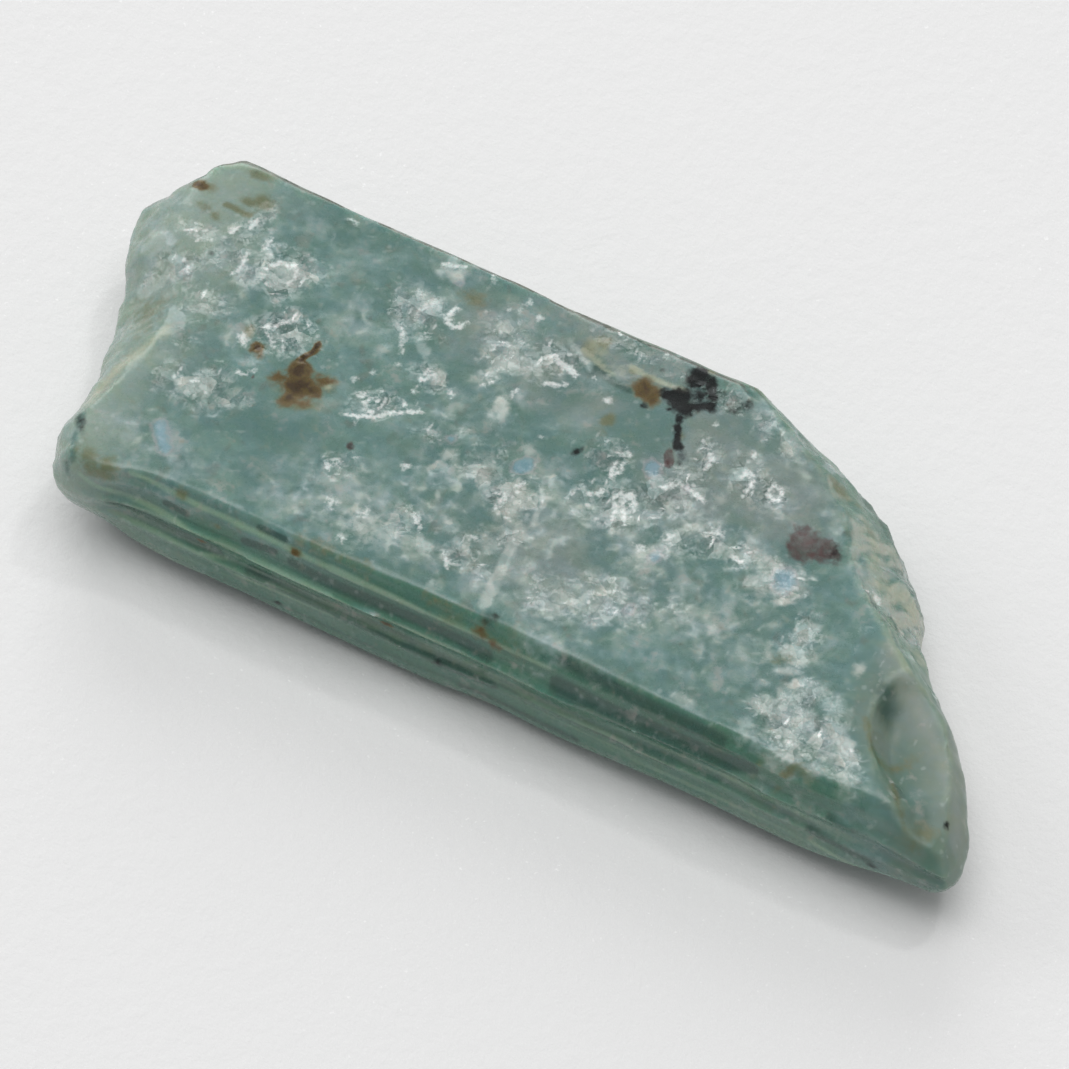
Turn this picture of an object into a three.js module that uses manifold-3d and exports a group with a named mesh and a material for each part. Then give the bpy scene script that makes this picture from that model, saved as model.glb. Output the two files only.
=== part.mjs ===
// Rough kyanite: one loose blade of green-blue kyanite, split along its flat cleavage and broken across both
// ends. It lies on its broad cleavage face. The blade runs along X, its stepped front side looks towards -Y and
// its oblique break is at the +X end. Everything is in millimetres, with +Z up.
import * as THREE from "three";
import { mergeVertices } from "three/addons/utils/BufferGeometryUtils.js";
import Module from "manifold-3d";

const wasm = await Module();
wasm.setup();

// Driving dimensions
const THICKNESS = 2.4; // from the resting face to the top cleavage face
const SIDE_RUN = { from: -7.2, to: 9.4 }; // about where the front and back sides begin and end along X
const FRONT_Y = -2.9; // where the front side reaches furthest
const BACK_Y = 3.86; // where the back side reaches furthest
const GRID = { along: 56, across: 20 }; // cells of the skin along X and Y; its rows up the sides are LEVELS
const JOIN = 1e-4; // vertices closer than this are one

// Rows of the skin up the sides, as heights, with how far each side stands back from its furthest reach there.
// The front side is a stair of three cleavage ledges, at 1.0, 1.6 and 2.1 mm, over an undercut foot.
const LEVELS = [
  { z: 0.0, front: 0.28, back: 0.55 },
  { z: 0.14, front: 0.17, back: 0.36 },
  { z: 0.42, front: 0.1, back: 0.2 },
  { z: 0.9, front: 0.08, back: 0.06 },
  { z: 1.0, front: 0.0, back: 0.03 },
  { z: 1.06, front: 0.17, back: 0.0 },
  { z: 1.5, front: 0.12, back: 0.03 },
  { z: 1.6, front: 0.0, back: 0.1 },
  { z: 1.66, front: 0.17, back: 0.12 },
  { z: 2.02, front: 0.23, back: 0.08 },
  { z: 2.1, front: 0.18, back: 0.05 },
  { z: 2.16, front: 0.32, back: 0.05 },
  { z: 2.34, front: 0.36, back: 0.06 },
  { z: THICKNESS, front: 0.44, back: 0.12 },
];

// The broken ends, from the front side to the back. Each row gives the end's X on the top face, at the height
// where the break reaches furthest, and at the resting face.
const LEFT_BREAK = {
  bulgeZ: 1.4,
  rows: [
    { y: -3.3, top: -6.1, bulge: -6.5, foot: -6.2 },
    { y: -3.1, top: -6.5, bulge: -6.9, foot: -6.5 },
    { y: -2.7, top: -6.8, bulge: -7.22, foot: -6.8 },
    { y: -2.1, top: -6.95, bulge: -7.4, foot: -6.95 },
    { y: -1.5, top: -6.82, bulge: -7.24, foot: -6.85 },
    { y: -0.8, top: -6.7, bulge: -7.42, foot: -7.0 },
    { y: 0.1, top: -6.62, bulge: -7.62, foot: -7.1 },
    { y: 0.8, top: -6.9, bulge: -7.84, foot: -7.2 },
    { y: 1.6, top: -7.3, bulge: -8.24, foot: -7.5 },
    { y: 2.4, top: -7.6, bulge: -8.4, foot: -7.7 },
    { y: 2.9, top: -7.66, bulge: -8.16, foot: -7.6 },
    { y: 3.2, top: -7.64, bulge: -7.78, foot: -7.4 },
    { y: 3.4, top: -7.62, bulge: -7.7, foot: -7.3 },
    { y: 3.75, top: -7.24, bulge: -7.36, foot: -7.0 },
  ],
};
const RIGHT_BREAK = {
  bulgeZ: 1.2,
  rows: [
    { y: -3.3, top: 9.0, bulge: 9.5, foot: 9.2 },
    { y: -2.6, top: 9.3, bulge: 9.8, foot: 9.5 },
    { y: -1.8, top: 9.1, bulge: 9.62, foot: 9.2 },
    { y: -1.1, top: 8.6, bulge: 9.1, foot: 8.7 },
    { y: -0.5, top: 8.2, bulge: 8.62, foot: 8.1 },
    { y: 0.1, top: 7.3, bulge: 8.06, foot: 7.5 },
    { y: 0.5, top: 6.8, bulge: 7.62, foot: 7.2 },
    { y: 1.3, top: 5.72, bulge: 7.06, foot: 6.6 },
    { y: 1.75, top: 5.4, bulge: 6.86, foot: 6.45 },
    { y: 2.35, top: 4.85, bulge: 6.3, foot: 5.9 },
    { y: 2.8, top: 4.3, bulge: 5.8, foot: 5.3 },
    { y: 3.3, top: 3.5, bulge: 4.94, foot: 4.5 },
    { y: 3.6, top: 2.9, bulge: 3.96, foot: 3.7 },
    { y: 3.9, top: 2.44, bulge: 3.3, foot: 3.1 },
  ],
};
const SHOULDER = { left: 2.4, right: 1.5 }; // above 1 the break rounds over into the top face

// The front side runs almost straight. It swells or draws in at these places along X, by one amount at its foot
// and another at its ridges, and has a round lobe at its left corner.
const FRONT_SWELL = [
  { x: -6.7, width: 0.8, foot: -0.12, ridge: 0.27 },
  { x: -4.9, width: 1.5, foot: 0.14, ridge: 0.06 },
  { x: 0.8, width: 0.8, foot: -0.1, ridge: 0.0 },
  { x: 3.0, width: 2.2, foot: 0.08, ridge: 0.02 },
  { x: 7.6, width: 1.5, foot: 0.12, ridge: 0.0 },
];
const RIDGE_Z = 1.6;
// Towards the left corner the ledges die out into the lobe, which is drawn in evenly above and below its middle.
const LOBE = { fromX: -6.9, toX: -5.9, middleZ: 1.2, drawIn: 0.36 };

// The top face falls a little towards the tip at +X, and dips into the scoop of the left break.
const TIP_FALL = { fromX: 8.2, toX: 9.8, drop: 0.5 };
const SCOOP = { x: -7.4, y: 0.75, reach: 1.25, drop: 0.34 };
// The resting face is flat inside this ellipse. Outside it the underside lifts off the table.
const REST = { x: 0.3, y: 0.5, halfX: 6.2, halfY: 2.5, lift: 0.2 };
const TIP_LIFT = { fromX: 6.5, toX: 9.5, rise: 0.36 };

// Unevenness of the split and broken surfaces: how high its lumps are, and how long
const GRAIN = {
  top: { height: 0.05, size: 1.7 },
  flakes: { height: 0.035, size: 0.62 },
  ledges: { height: 0.06, size: 2.3 },
  back: { height: 0.03, size: 1.6 },
  leftEnd: { height: 0.055, size: 0.75 },
  rightEnd: { height: 0.11, size: 0.75 },
  underside: { height: 0.12, size: 2.1 },
  hollows: { height: 0.09, size: 0.7 },
};
const LEDGE_CHANGE = 3; // the lumps of the front side change this many times faster upwards than along it
// Each surface reads its lumps from its own slice of the noise, so that no two are alike.
const SLICE = { front: 9, back: 5, left: 2, right: 5, top: 3, flakes: 7, underside: 8 };

// Cut away: the conchoidal hollow at the tip and shallow round scars in the top face. Turns are in degrees.
const HOLLOWS = [
  { at: [8.5, -1.3, 2.9], half: [2.0, 0.98, 0.98], turn: -51 },
  { at: [9.3, -2.4, 2.75], half: [1.2, 0.8, 0.95], turn: -60 },
  { at: [-5.3, 1.82, 2.5], half: [0.42, 0.34, 0.17], turn: 20 },
  { at: [-4.75, 0.98, 2.5], half: [0.36, 0.3, 0.16], turn: -30 },
  { at: [-5.15, 0.32, 2.5], half: [0.3, 0.34, 0.15], turn: 15 },
];
const HOLLOW_SIDES = { around: 18, down: 10 };

// A thin flake of the next cleavage sheet left standing on the top face along the back edge. Its top slopes down
// into the face towards its left end.
const FLAKE_TOP = 2.49;
const FLAKE_TILT = { aboutX: 2.6, degrees: 1.6 };
const FLAKE_ROOT = 2.1;
const FLAKE_OUTLINE = [
  [-0.8, 3.7], [-0.5, 3.3], [-0.2, 3.15], [0.15, 3.04], [0.5, 2.86], [0.78, 3.04], [1.2, 3.08],
  [1.65, 3.14], [2.2, 3.42], [2.6, 3.52], [2.4, 3.66], [0.5, 3.69],
];

/** Straight-line value at a position, from rows sorted by their key. */
function between(rows, key, at, value) {
  const last = rows.length - 1;
  if (at <= rows[0][key]) return rows[0][value];
  if (at >= rows[last][key]) return rows[last][value];
  const next = rows.findIndex((row) => row[key] > at);
  const [a, b] = [rows[next - 1], rows[next]];
  return THREE.MathUtils.lerp(a[value], b[value], (at - a[key]) / (b[key] - a[key]));
}

/** A repeatable random number from 0 to 1 for a lattice corner. */
function cornerValue(i, j, k) {
  const s = Math.sin(i * 127.1 + j * 311.7 + k * 74.7) * 43758.5453;
  return s - Math.floor(s);
}

/** Smooth noise with lumps of the grain's size, up to the grain's height either way. */
function lumps(grain, x, y, z) {
  const cell = [x, y, z].map((c) => c / grain.size);
  const [i, j, k] = cell.map(Math.floor);
  const [u, v, w] = cell.map((c) => THREE.MathUtils.smoothstep(c - Math.floor(c), 0, 1));
  let sum = 0;
  for (const [a, wa] of [[0, 1 - u], [1, u]])
    for (const [b, wb] of [[0, 1 - v], [1, v]])
      for (const [c, wc] of [[0, 1 - w], [1, w]]) sum += wa * wb * wc * cornerValue(i + a, j + b, k + c);
  return grain.height * (2 * sum - 1);
}

/** X of a broken end at a given place on it. */
function breakX(end, shoulder, y, z) {
  const bulge = between(end.rows, "y", y, "bulge");
  if (z < end.bulgeZ) {
    const foot = between(end.rows, "y", y, "foot");
    return THREE.MathUtils.lerp(bulge, foot, (1 - z / end.bulgeZ) ** 2);
  }
  const top = between(end.rows, "y", y, "top");
  const rise = (z - end.bulgeZ) / (THICKNESS - end.bulgeZ);
  return THREE.MathUtils.lerp(bulge, top, rise ** shoulder);
}

/** Y of the front side at a level, for a share u of the way along. */
function frontY(level, u) {
  const x = THREE.MathUtils.lerp(SIDE_RUN.from, SIDE_RUN.to, u);
  const height = Math.min(level.z / RIDGE_Z, 1);
  const round = LOBE.drawIn * (level.z / LOBE.middleZ - 1) ** 2;
  const ledges = THREE.MathUtils.smoothstep(x, LOBE.fromX, LOBE.toX);
  const drawn = THREE.MathUtils.lerp(round, level.front, ledges);
  let swell = 0;
  for (const { x: at, width, foot, ridge } of FRONT_SWELL)
    swell += THREE.MathUtils.lerp(foot, ridge, height) * Math.exp(-(((x - at) / width) ** 2));
  return FRONT_Y + drawn - swell + lumps(GRAIN.ledges, x, SLICE.front, LEDGE_CHANGE * level.z);
}

/** Height of the top face. */
function topZ(x, y) {
  const fall = TIP_FALL.drop * THREE.MathUtils.smoothstep(x, TIP_FALL.fromX, TIP_FALL.toX);
  const away = Math.hypot(x - SCOOP.x, y - SCOOP.y) / SCOOP.reach;
  const dip = SCOOP.drop * (1 - THREE.MathUtils.smoothstep(away, 0, 1));
  return THICKNESS - fall - dip + lumps(GRAIN.top, x, y, SLICE.top) + lumps(GRAIN.flakes, x, y, SLICE.flakes);
}

/** Height of the underside: flat where it rests, lifted towards the rim and the tip. */
function undersideZ(x, y) {
  const out = Math.hypot((x - REST.x) / REST.halfX, (y - REST.y) / REST.halfY) - 1;
  if (out <= 0) return 0;
  const tip = TIP_LIFT.rise * THREE.MathUtils.smoothstep(x, TIP_LIFT.fromX, TIP_LIFT.toX);
  const uneven = GRAIN.underside.height + lumps(GRAIN.underside, x, y, SLICE.underside);
  return THREE.MathUtils.smoothstep(out, 0, 0.5) * (REST.lift + tip + uneven);
}

/** The place on the crystal's skin of a corner of the unit box, given by its shares u, v and w. */
function skinPoint(u, v, w) {
  const level = LEVELS[Math.round(w * (LEVELS.length - 1))];
  const z = level.z;
  const along = THREE.MathUtils.lerp(SIDE_RUN.from, SIDE_RUN.to, u);
  const back = BACK_Y - level.back + lumps(GRAIN.back, along, SLICE.back, z);
  const y = THREE.MathUtils.lerp(frontY(level, u), back, v);
  const left = breakX(LEFT_BREAK, SHOULDER.left, y, z) + lumps(GRAIN.leftEnd, SLICE.left, y, z);
  const right = breakX(RIGHT_BREAK, SHOULDER.right, y, z) + lumps(GRAIN.rightEnd, SLICE.right, y, z);
  const x = THREE.MathUtils.lerp(left, right, u);
  return new THREE.Vector3(x, y, THREE.MathUtils.lerp(undersideZ(x, y), topZ(x, y), z / THICKNESS));
}

/** The crystal's skin: a finely divided box with every corner moved to its place. */
function skinGeometry() {
  const box = new THREE.BoxGeometry(1, 1, 1, GRID.along, GRID.across, LEVELS.length - 1);
  const position = box.getAttribute("position");
  for (let i = 0; i < position.count; i++) {
    const share = new THREE.Vector3().fromBufferAttribute(position, i).addScalar(0.5);
    position.setXYZ(i, ...skinPoint(share.x, share.y, share.z));
  }
  return box;
}

/** One hollow as an uneven, stretched, turned ball. */
function hollowGeometry({ at, half, turn }) {
  const ball = new THREE.SphereGeometry(1, HOLLOW_SIDES.around, HOLLOW_SIDES.down);
  const position = ball.getAttribute("position");
  for (let i = 0; i < position.count; i++) {
    const point = new THREE.Vector3().fromBufferAttribute(position, i);
    point.multiplyScalar(1 + lumps(GRAIN.hollows, point.x + at[0], point.y + at[1], point.z));
    position.setXYZ(i, ...point);
  }
  return ball
    .rotateX(Math.PI / 2)
    .scale(...half)
    .rotateZ(THREE.MathUtils.degToRad(turn))
    .translate(...at);
}

/** The thin flake that stands on the top face. */
function flakeGeometry() {
  const shape = new THREE.Shape(FLAKE_OUTLINE.map(([x, y]) => new THREE.Vector2(x, y)));
  const flake = new THREE.ExtrudeGeometry(shape, { depth: FLAKE_TOP - FLAKE_ROOT, bevelEnabled: false });
  return flake
    .translate(-FLAKE_TILT.aboutX, 0, FLAKE_ROOT - FLAKE_TOP)
    .rotateY(-THREE.MathUtils.degToRad(FLAKE_TILT.degrees))
    .translate(FLAKE_TILT.aboutX, 0, FLAKE_TOP);
}

/** A closed geometry as a manifold-3d solid. */
function solid(geometry) {
  const bare = geometry.clone();
  bare.deleteAttribute("normal");
  bare.deleteAttribute("uv");
  const merged = mergeVertices(bare, JOIN);
  const mesh = new wasm.Mesh({
    numProp: 3,
    vertProperties: merged.getAttribute("position").array,
    triVerts: new Uint32Array(merged.index.array),
  });
  return new wasm.Manifold(mesh);
}

/** A manifold-3d solid back as a geometry with flat faces. */
function facetedGeometry(made) {
  const mesh = made.getMesh();
  const shared = new THREE.BufferGeometry();
  shared.setAttribute("position", new THREE.BufferAttribute(mesh.vertProperties, 3));
  shared.setIndex(new THREE.BufferAttribute(mesh.triVerts, 1));
  const faceted = shared.toNonIndexed();
  faceted.computeVertexNormals();
  return faceted;
}

let blade = solid(skinGeometry()).add(solid(flakeGeometry()));
for (const hollow of HOLLOWS) blade = blade.subtract(solid(hollowGeometry(hollow)));

const geometry = facetedGeometry(blade);
geometry.computeBoundingBox();
const centre = geometry.boundingBox.getCenter(new THREE.Vector3());
geometry.translate(-centre.x, -centre.y, -geometry.boundingBox.min.z);

const kyanite = new THREE.MeshStandardMaterial({ color: "#7c9a92", roughness: 0.35, metalness: 0 });
const crystal = new THREE.Mesh(geometry, kyanite);
crystal.name = "kyanite_crystal";

const part = new THREE.Group();
part.add(crystal);
export default part;
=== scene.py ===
"""A rough kyanite blade on a pale table: its finished skin, the materials, the light and the camera."""

import logging
import math
from dataclasses import dataclass, field
from enum import Enum
from typing import Any

import bpy
import numpy as np
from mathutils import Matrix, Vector


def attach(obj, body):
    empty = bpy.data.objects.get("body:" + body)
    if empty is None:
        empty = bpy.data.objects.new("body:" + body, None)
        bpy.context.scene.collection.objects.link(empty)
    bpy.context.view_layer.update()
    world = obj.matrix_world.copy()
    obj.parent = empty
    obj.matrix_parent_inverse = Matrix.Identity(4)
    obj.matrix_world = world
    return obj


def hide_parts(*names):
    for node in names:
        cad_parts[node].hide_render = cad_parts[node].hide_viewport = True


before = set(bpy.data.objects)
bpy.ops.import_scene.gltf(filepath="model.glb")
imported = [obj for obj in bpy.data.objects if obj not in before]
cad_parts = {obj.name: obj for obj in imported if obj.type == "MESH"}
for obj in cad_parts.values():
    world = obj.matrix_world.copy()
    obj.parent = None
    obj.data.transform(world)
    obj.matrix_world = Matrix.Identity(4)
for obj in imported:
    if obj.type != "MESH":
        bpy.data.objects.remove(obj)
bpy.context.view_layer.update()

NODE = "kyanite_crystal"
MM = 0.001  # metres in a millimetre
PER_M = 1000.0  # millimetres in a metre
HALVES = (0.5, 0.5, 0.5)  # the mean of a random colour
DATUM = Vector((-0.7074, -0.3774, 0.0))  # where the blade's own datum lies in the part's frame, mm

log = logging.getLogger("kyanite")


# --- Shader helpers ---------------------------------------------------------------------------------------


class Value:
    """A number that changes over a surface. Its arithmetic adds Math nodes."""

    def __init__(self, net: "Net", source: bpy.types.NodeSocket) -> None:
        """Wraps an output socket of a network."""
        self.net = net
        self.source = source

    def _math(self, operation: str, first: Any, second: Any, clamp: bool = False) -> "Value":
        """Adds one Math node.

        Args:
            operation: The Math node's operation.
            first: Its first value.
            second: Its second value.
            clamp: Whether the result is held between 0 and 1.

        Returns:
            The node's result.
        """
        settings = {"operation": operation, "use_clamp": clamp}
        made = self.net.node("ShaderNodeMath", settings, {0: first, 1: second})
        return Value(self.net, made.outputs[0])

    def __add__(self, other: Any) -> "Value":
        """Sum."""
        return self._math("ADD", self, other)

    def __radd__(self, other: Any) -> "Value":
        """Sum, number first."""
        return self._math("ADD", other, self)

    def __sub__(self, other: Any) -> "Value":
        """Difference."""
        return self._math("SUBTRACT", self, other)

    def __rsub__(self, other: Any) -> "Value":
        """Difference, number first."""
        return self._math("SUBTRACT", other, self)

    def __mul__(self, other: Any) -> "Value":
        """Product."""
        return self._math("MULTIPLY", self, other)

    def __rmul__(self, other: Any) -> "Value":
        """Product, number first."""
        return self._math("MULTIPLY", other, self)

    def __abs__(self) -> "Value":
        """Size without its sign."""
        return self._math("ABSOLUTE", self, 0.0)

    def clamped(self) -> "Value":
        """The value held between 0 and 1."""
        return self._math("ADD", self, 0.0, clamp=True)

    def least(self, other: Any) -> "Value":
        """The smaller of two values."""
        return self._math("MINIMUM", self, other)

    def most(self, other: Any) -> "Value":
        """The larger of two values."""
        return self._math("MAXIMUM", self, other)

    def swing(self, size: float) -> "Value":
        """How far the value is from a half, times a size."""
        return (self - 0.5) * size

    def rise(self, low: float, high: float) -> "Value":
        """A soft step from 0 at low to 1 at high, which may also run downwards.

        Args:
            low: The value that gives 0.
            high: The value that gives 1.

        Returns:
            The step.
        """
        limits = {"Value": self, "From Min": low, "From Max": high}
        made = self.net.node("ShaderNodeMapRange", {"interpolation_type": "SMOOTHSTEP"}, limits)
        return Value(self.net, made.outputs["Result"])


class Net:
    """The node network of one material."""

    def __init__(self, name: str) -> None:
        """Starts an empty material.

        Args:
            name: The material's name.
        """
        self.material = bpy.data.materials.new(name)
        self.material.use_nodes = True
        self.tree = self.material.node_tree
        self.tree.nodes.clear()

    def node(self, kind: str, settings: dict[str, Any], inputs: dict[Any, Any]) -> bpy.types.Node:
        """Adds any node.

        Args:
            kind: The node's type.
            settings: Its own settings, set first.
            inputs: For each of its sockets, by name or number, a value, a Value or a socket to link.

        Returns:
            The node.
        """
        made = self.tree.nodes.new(kind)
        for key, value in settings.items():
            setattr(made, key, value)
        for key, value in inputs.items():
            source = value.source if isinstance(value, Value) else value
            if isinstance(source, bpy.types.NodeSocket):
                self.tree.links.new(source, made.inputs[key])
            else:
                made.inputs[key].default_value = source
        return made

    def coords(self, move: tuple = (0.0, 0.0, 0.0)) -> bpy.types.NodeSocket:
        """Object coordinates in mm, moved at the end."""
        source = self.node("ShaderNodeTexCoord", {}, {}).outputs["Object"]
        return self.mapped(source, (PER_M,) * 3, move)

    def mapped(self, coords: Any, scale: tuple, move: tuple = (0.0, 0.0, 0.0)) -> bpy.types.NodeSocket:
        """Scales coordinates and then moves them."""
        values = {"Vector": coords, "Scale": scale, "Location": move}
        return self.node("ShaderNodeMapping", {}, values).outputs["Vector"]

    def vector(self, operation: str, first: Any, second: Any) -> bpy.types.NodeSocket:
        """Adds a Vector Math node and gives its vector."""
        made = self.node("ShaderNodeVectorMath", {"operation": operation}, {0: first, 1: second})
        return made.outputs["Vector"]

    def dot(self, first: Any, second: Any) -> Value:
        """The dot product of two vectors."""
        made = self.node("ShaderNodeVectorMath", {"operation": "DOT_PRODUCT"}, {0: first, 1: second})
        return Value(self, made.outputs["Value"])

    def parts(self, vector: bpy.types.NodeSocket) -> tuple[Value, ...]:
        """The three parts of a vector or a colour."""
        made = self.node("ShaderNodeSeparateXYZ", {}, {"Vector": vector})
        return tuple(Value(self, socket) for socket in made.outputs)

    def noise(self, coords: Any, size: float, detail: float, rough: float, warp: float = 0.0) -> Value:
        """Cloudy noise around 0.5.

        Args:
            coords: Coordinates in mm.
            size: Size of its clouds, mm.
            detail: Octaves of finer clouds.
            rough: Strength of the finer clouds.
            warp: How much the clouds are twisted.

        Returns:
            The noise.
        """
        values = {"Scale": 1.0 / size, "Detail": detail, "Roughness": rough, "Distortion": warp}
        return Value(self, self.node("ShaderNodeTexNoise", {}, {"Vector": coords, **values}).outputs[0])

    def painted(self, name: str) -> Value:
        """A number painted on the skin under this name."""
        return Value(self, self.node("ShaderNodeAttribute", {"attribute_name": name}, {}).outputs["Fac"])

    def strayed(self, coords: Any, size: float, reach: float) -> bpy.types.NodeSocket:
        """Coordinates pushed about by noise, so that what is drawn on them gets ragged edges.

        Args:
            coords: Coordinates in mm.
            size: Size of the noise, mm.
            reach: How far it pushes, mm.

        Returns:
            The coordinates.
        """
        push = self.node("ShaderNodeTexNoise", {}, {"Vector": coords, "Scale": 1.0 / size, "Detail": 3.0})
        centred = self.vector("SUBTRACT", push.outputs["Color"], HALVES)
        return self.vector("ADD", coords, self.vector("MULTIPLY", centred, (2.0 * reach,) * 3))

    def tinted(self, share: Any, below: Any, above: Any) -> bpy.types.NodeSocket:
        """Mixes two colours.

        Args:
            share: How much of the second one shows.
            below: The first colour, RGB or a socket.
            above: The second colour, RGB or a socket.

        Returns:
            The mixed colour.
        """
        under = (*below, 1.0) if isinstance(below, tuple) else below
        over = (*above, 1.0) if isinstance(above, tuple) else above
        made = self.node("ShaderNodeMix", {"data_type": "RGBA"}, {0: share, 6: under, 7: over})
        return made.outputs[2]

    def finished(self, inputs: dict[str, Any]) -> bpy.types.Material:
        """Adds the shader with these inputs and gives the material.

        Args:
            inputs: The shader's inputs, by name.

        Returns:
            The material.
        """
        shader = self.node("ShaderNodeBsdfPrincipled", {}, inputs)
        self.node("ShaderNodeOutputMaterial", {}, {"Surface": shader.outputs[0]})
        return self.material


class Cells:
    """Irregular cells over a surface, each with random tones and a side of its own that it leans to."""

    def __init__(self, net: Net, coords: Any, size: float) -> None:
        """Lays out the cells.

        Args:
            net: The network.
            coords: Coordinates in mm.
            size: Size of a cell, mm.
        """
        made = net.node("ShaderNodeTexVoronoi", {}, {"Vector": coords, "Scale": 1.0 / size})
        self.net = net
        self.coords = coords
        self.colour = made.outputs["Color"]
        self.middle = made.outputs["Position"]
        self.distance = Value(net, made.outputs["Distance"])

    def tones(self) -> tuple[Value, ...]:
        """Three random numbers for each cell."""
        return self.net.parts(self.colour)

    def lean(self) -> Value:
        """How far each place lies towards the side that its cell leans to."""
        from_middle = self.net.vector("SUBTRACT", self.coords, self.middle)
        return self.net.dot(from_middle, self.net.vector("SUBTRACT", self.colour, HALVES))


# --- What is seen on the stone ----------------------------------------------------------------------------


class Layer(Enum):
    """What a mark puts on the stone. Each one is a number painted on the skin."""

    MILK = "milk"  # soft white clouds inside the stone
    PLATE = "plate"  # white cleavage plates
    FLAKE = "flake"  # rough places, broken into flakes
    POOL = "pool"  # clear, dark stone, and painted shadow under the flake's step and in the tip's hollow
    ASH = "ash"  # greyer stone
    MOSS = "moss"  # smooth green stone
    CLAY = "clay"  # pale, dull stone, and a painted highlight in the tip's hollow
    RUST = "rust"  # brown iron stains
    OLIVE = "olive"  # olive stains
    CREAM = "cream"  # cream stains, and a painted highlight along the flake's edge
    INK = "ink"  # black stains
    WINE = "wine"  # red-brown stains
    SHEEN = "sheen"  # faint blue and pink glints
    RIM = "rim"  # bright white edges of plates, partly painted highlights and glints
    RIDGE = "ridge"  # painted highlights on the tops of the ribs and ledges
    GROOVE = "groove"  # painted shade in the grooves and under steps, and a few dark smudges
    GLOW = "glow"  # lighter places on the front side


CURVE = "curve"  # the name that the skin's curve is painted under


class Face(Enum):
    """Which face a mark lies on, and so which two axes its place is measured along."""

    TOP = (0, 1)
    FRONT = (0, 2)


@dataclass(frozen=True)
class Picture:
    """The camera's view of the stone. Places are in mm, in the blade's own datum, and pixels count from the
    upper left corner."""

    elevation: float = 55.0  # degrees above the table
    azimuth: float = 28.8  # degrees from the front towards +X
    distance: float = 220.0
    side: float = 1069.0  # pixels across and down
    per_mm: float = 60.2  # pixels in a millimetre at the aim
    aim: tuple = (0.0, 0.0, 1.2)
    aim_pixel: tuple = (510.0, 530.0)  # where the aim is seen
    top: float = 2.4  # height of the top face

    def axes(self) -> tuple[Vector, Vector, Vector]:
        """Works out which way the camera looks.

        Returns:
            The directions to the right of the picture, up it, and out of it to the camera.
        """
        turn, tilt = math.radians(self.azimuth), math.radians(self.elevation)
        out = Vector((math.sin(turn) * math.cos(tilt), -math.cos(turn) * math.cos(tilt), math.sin(tilt)))
        right = Vector((math.cos(turn), math.sin(turn), 0.0))
        return right, out.cross(right), out

    def on_top(self, across: float, down: float) -> np.ndarray:
        """Where a pixel of the picture falls on the top face.

        Args:
            across: Pixels from the left edge.
            down: Pixels from the upper edge.

        Returns:
            X and Y.
        """
        right, up, out = self.axes()
        reach = self.per_mm * self.distance
        to_right = (across - self.aim_pixel[0]) / reach
        to_top = (self.aim_pixel[1] - down) / reach
        ray = right * to_right + up * to_top - out
        eye = Vector(self.aim) + out * self.distance
        hit = eye + ray * ((self.top - eye.z) / ray.z)
        return np.array(hit[:2])


PICTURE = Picture()
OVAL_EDGE = 1.25  # a soft oval reaches this much further than the edge that the eye sees
FACING = 0.1  # a mark begins to show where the surface's direction has this much of the face's
FACING_OVER = 0.3  # and it shows in full this much further on
FALL = 0.8  # share of its strength that a mark loses from its middle to its rim


class Mark:
    """Anything drawn on one face of the blade, in the blade's own datum."""

    strength: float
    face: Face

    def _away(self, places: np.ndarray) -> np.ndarray:
        """How far places on the face lie from the mark, as a share of its half width."""
        raise NotImplementedError

    def reach(self, points: np.ndarray, normals: np.ndarray) -> np.ndarray:
        """How strong the mark is at each point.

        Args:
            points: Places, mm.
            normals: The surface's direction at each.

        Returns:
            Its strength in the middle, a fifth of it on the rim and 0 beyond.
        """
        shown = normals[:, 2] if self.face is Face.TOP else -normals[:, 1]
        facing = np.clip((shown - FACING) / FACING_OVER, 0.0, 1.0)
        away = self._away(points[:, list(self.face.value)])
        return self.strength * facing * np.clip(1.0 - FALL * away, 0.0, 1.0)


@dataclass(frozen=True)
class Spot(Mark):
    """A soft oval: its middle and half lengths in mm, and its turn in degrees."""

    x: float
    y: float
    long: float
    wide: float
    turn: float = 0.0
    strength: float = 1.0
    face: Face = Face.TOP

    def _away(self, places: np.ndarray) -> np.ndarray:
        """How far places lie from the middle.

        Args:
            places: Places on the face, mm.

        Returns:
            The distances, as a share of the half lengths.
        """
        angle = math.radians(self.turn)
        right, up = (places - (self.x, self.y)).T
        first = (right * math.cos(angle) + up * math.sin(angle)) / self.long
        second = (up * math.cos(angle) - right * math.sin(angle)) / self.wide
        return np.hypot(first, second)


@dataclass(frozen=True)
class Stroke(Mark):
    """A soft line through points given in mm, with its half width in mm."""

    path: tuple
    half: float
    strength: float = 1.0
    face: Face = Face.TOP

    def _away(self, places: np.ndarray) -> np.ndarray:
        """How far places lie from the line.

        Args:
            places: Places on the face, mm.

        Returns:
            The distances, as a share of the half width.
        """
        nearest = np.full(len(places), np.inf)
        for start, end in zip(np.array(self.path[:-1]), np.array(self.path[1:])):
            run = end - start
            share = np.clip((places - start) @ run / (run @ run), 0.0, 1.0)
            gap = np.linalg.norm(places - start - np.outer(share, run), axis=1)
            nearest = np.minimum(nearest, gap)
        return nearest / self.half


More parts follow.
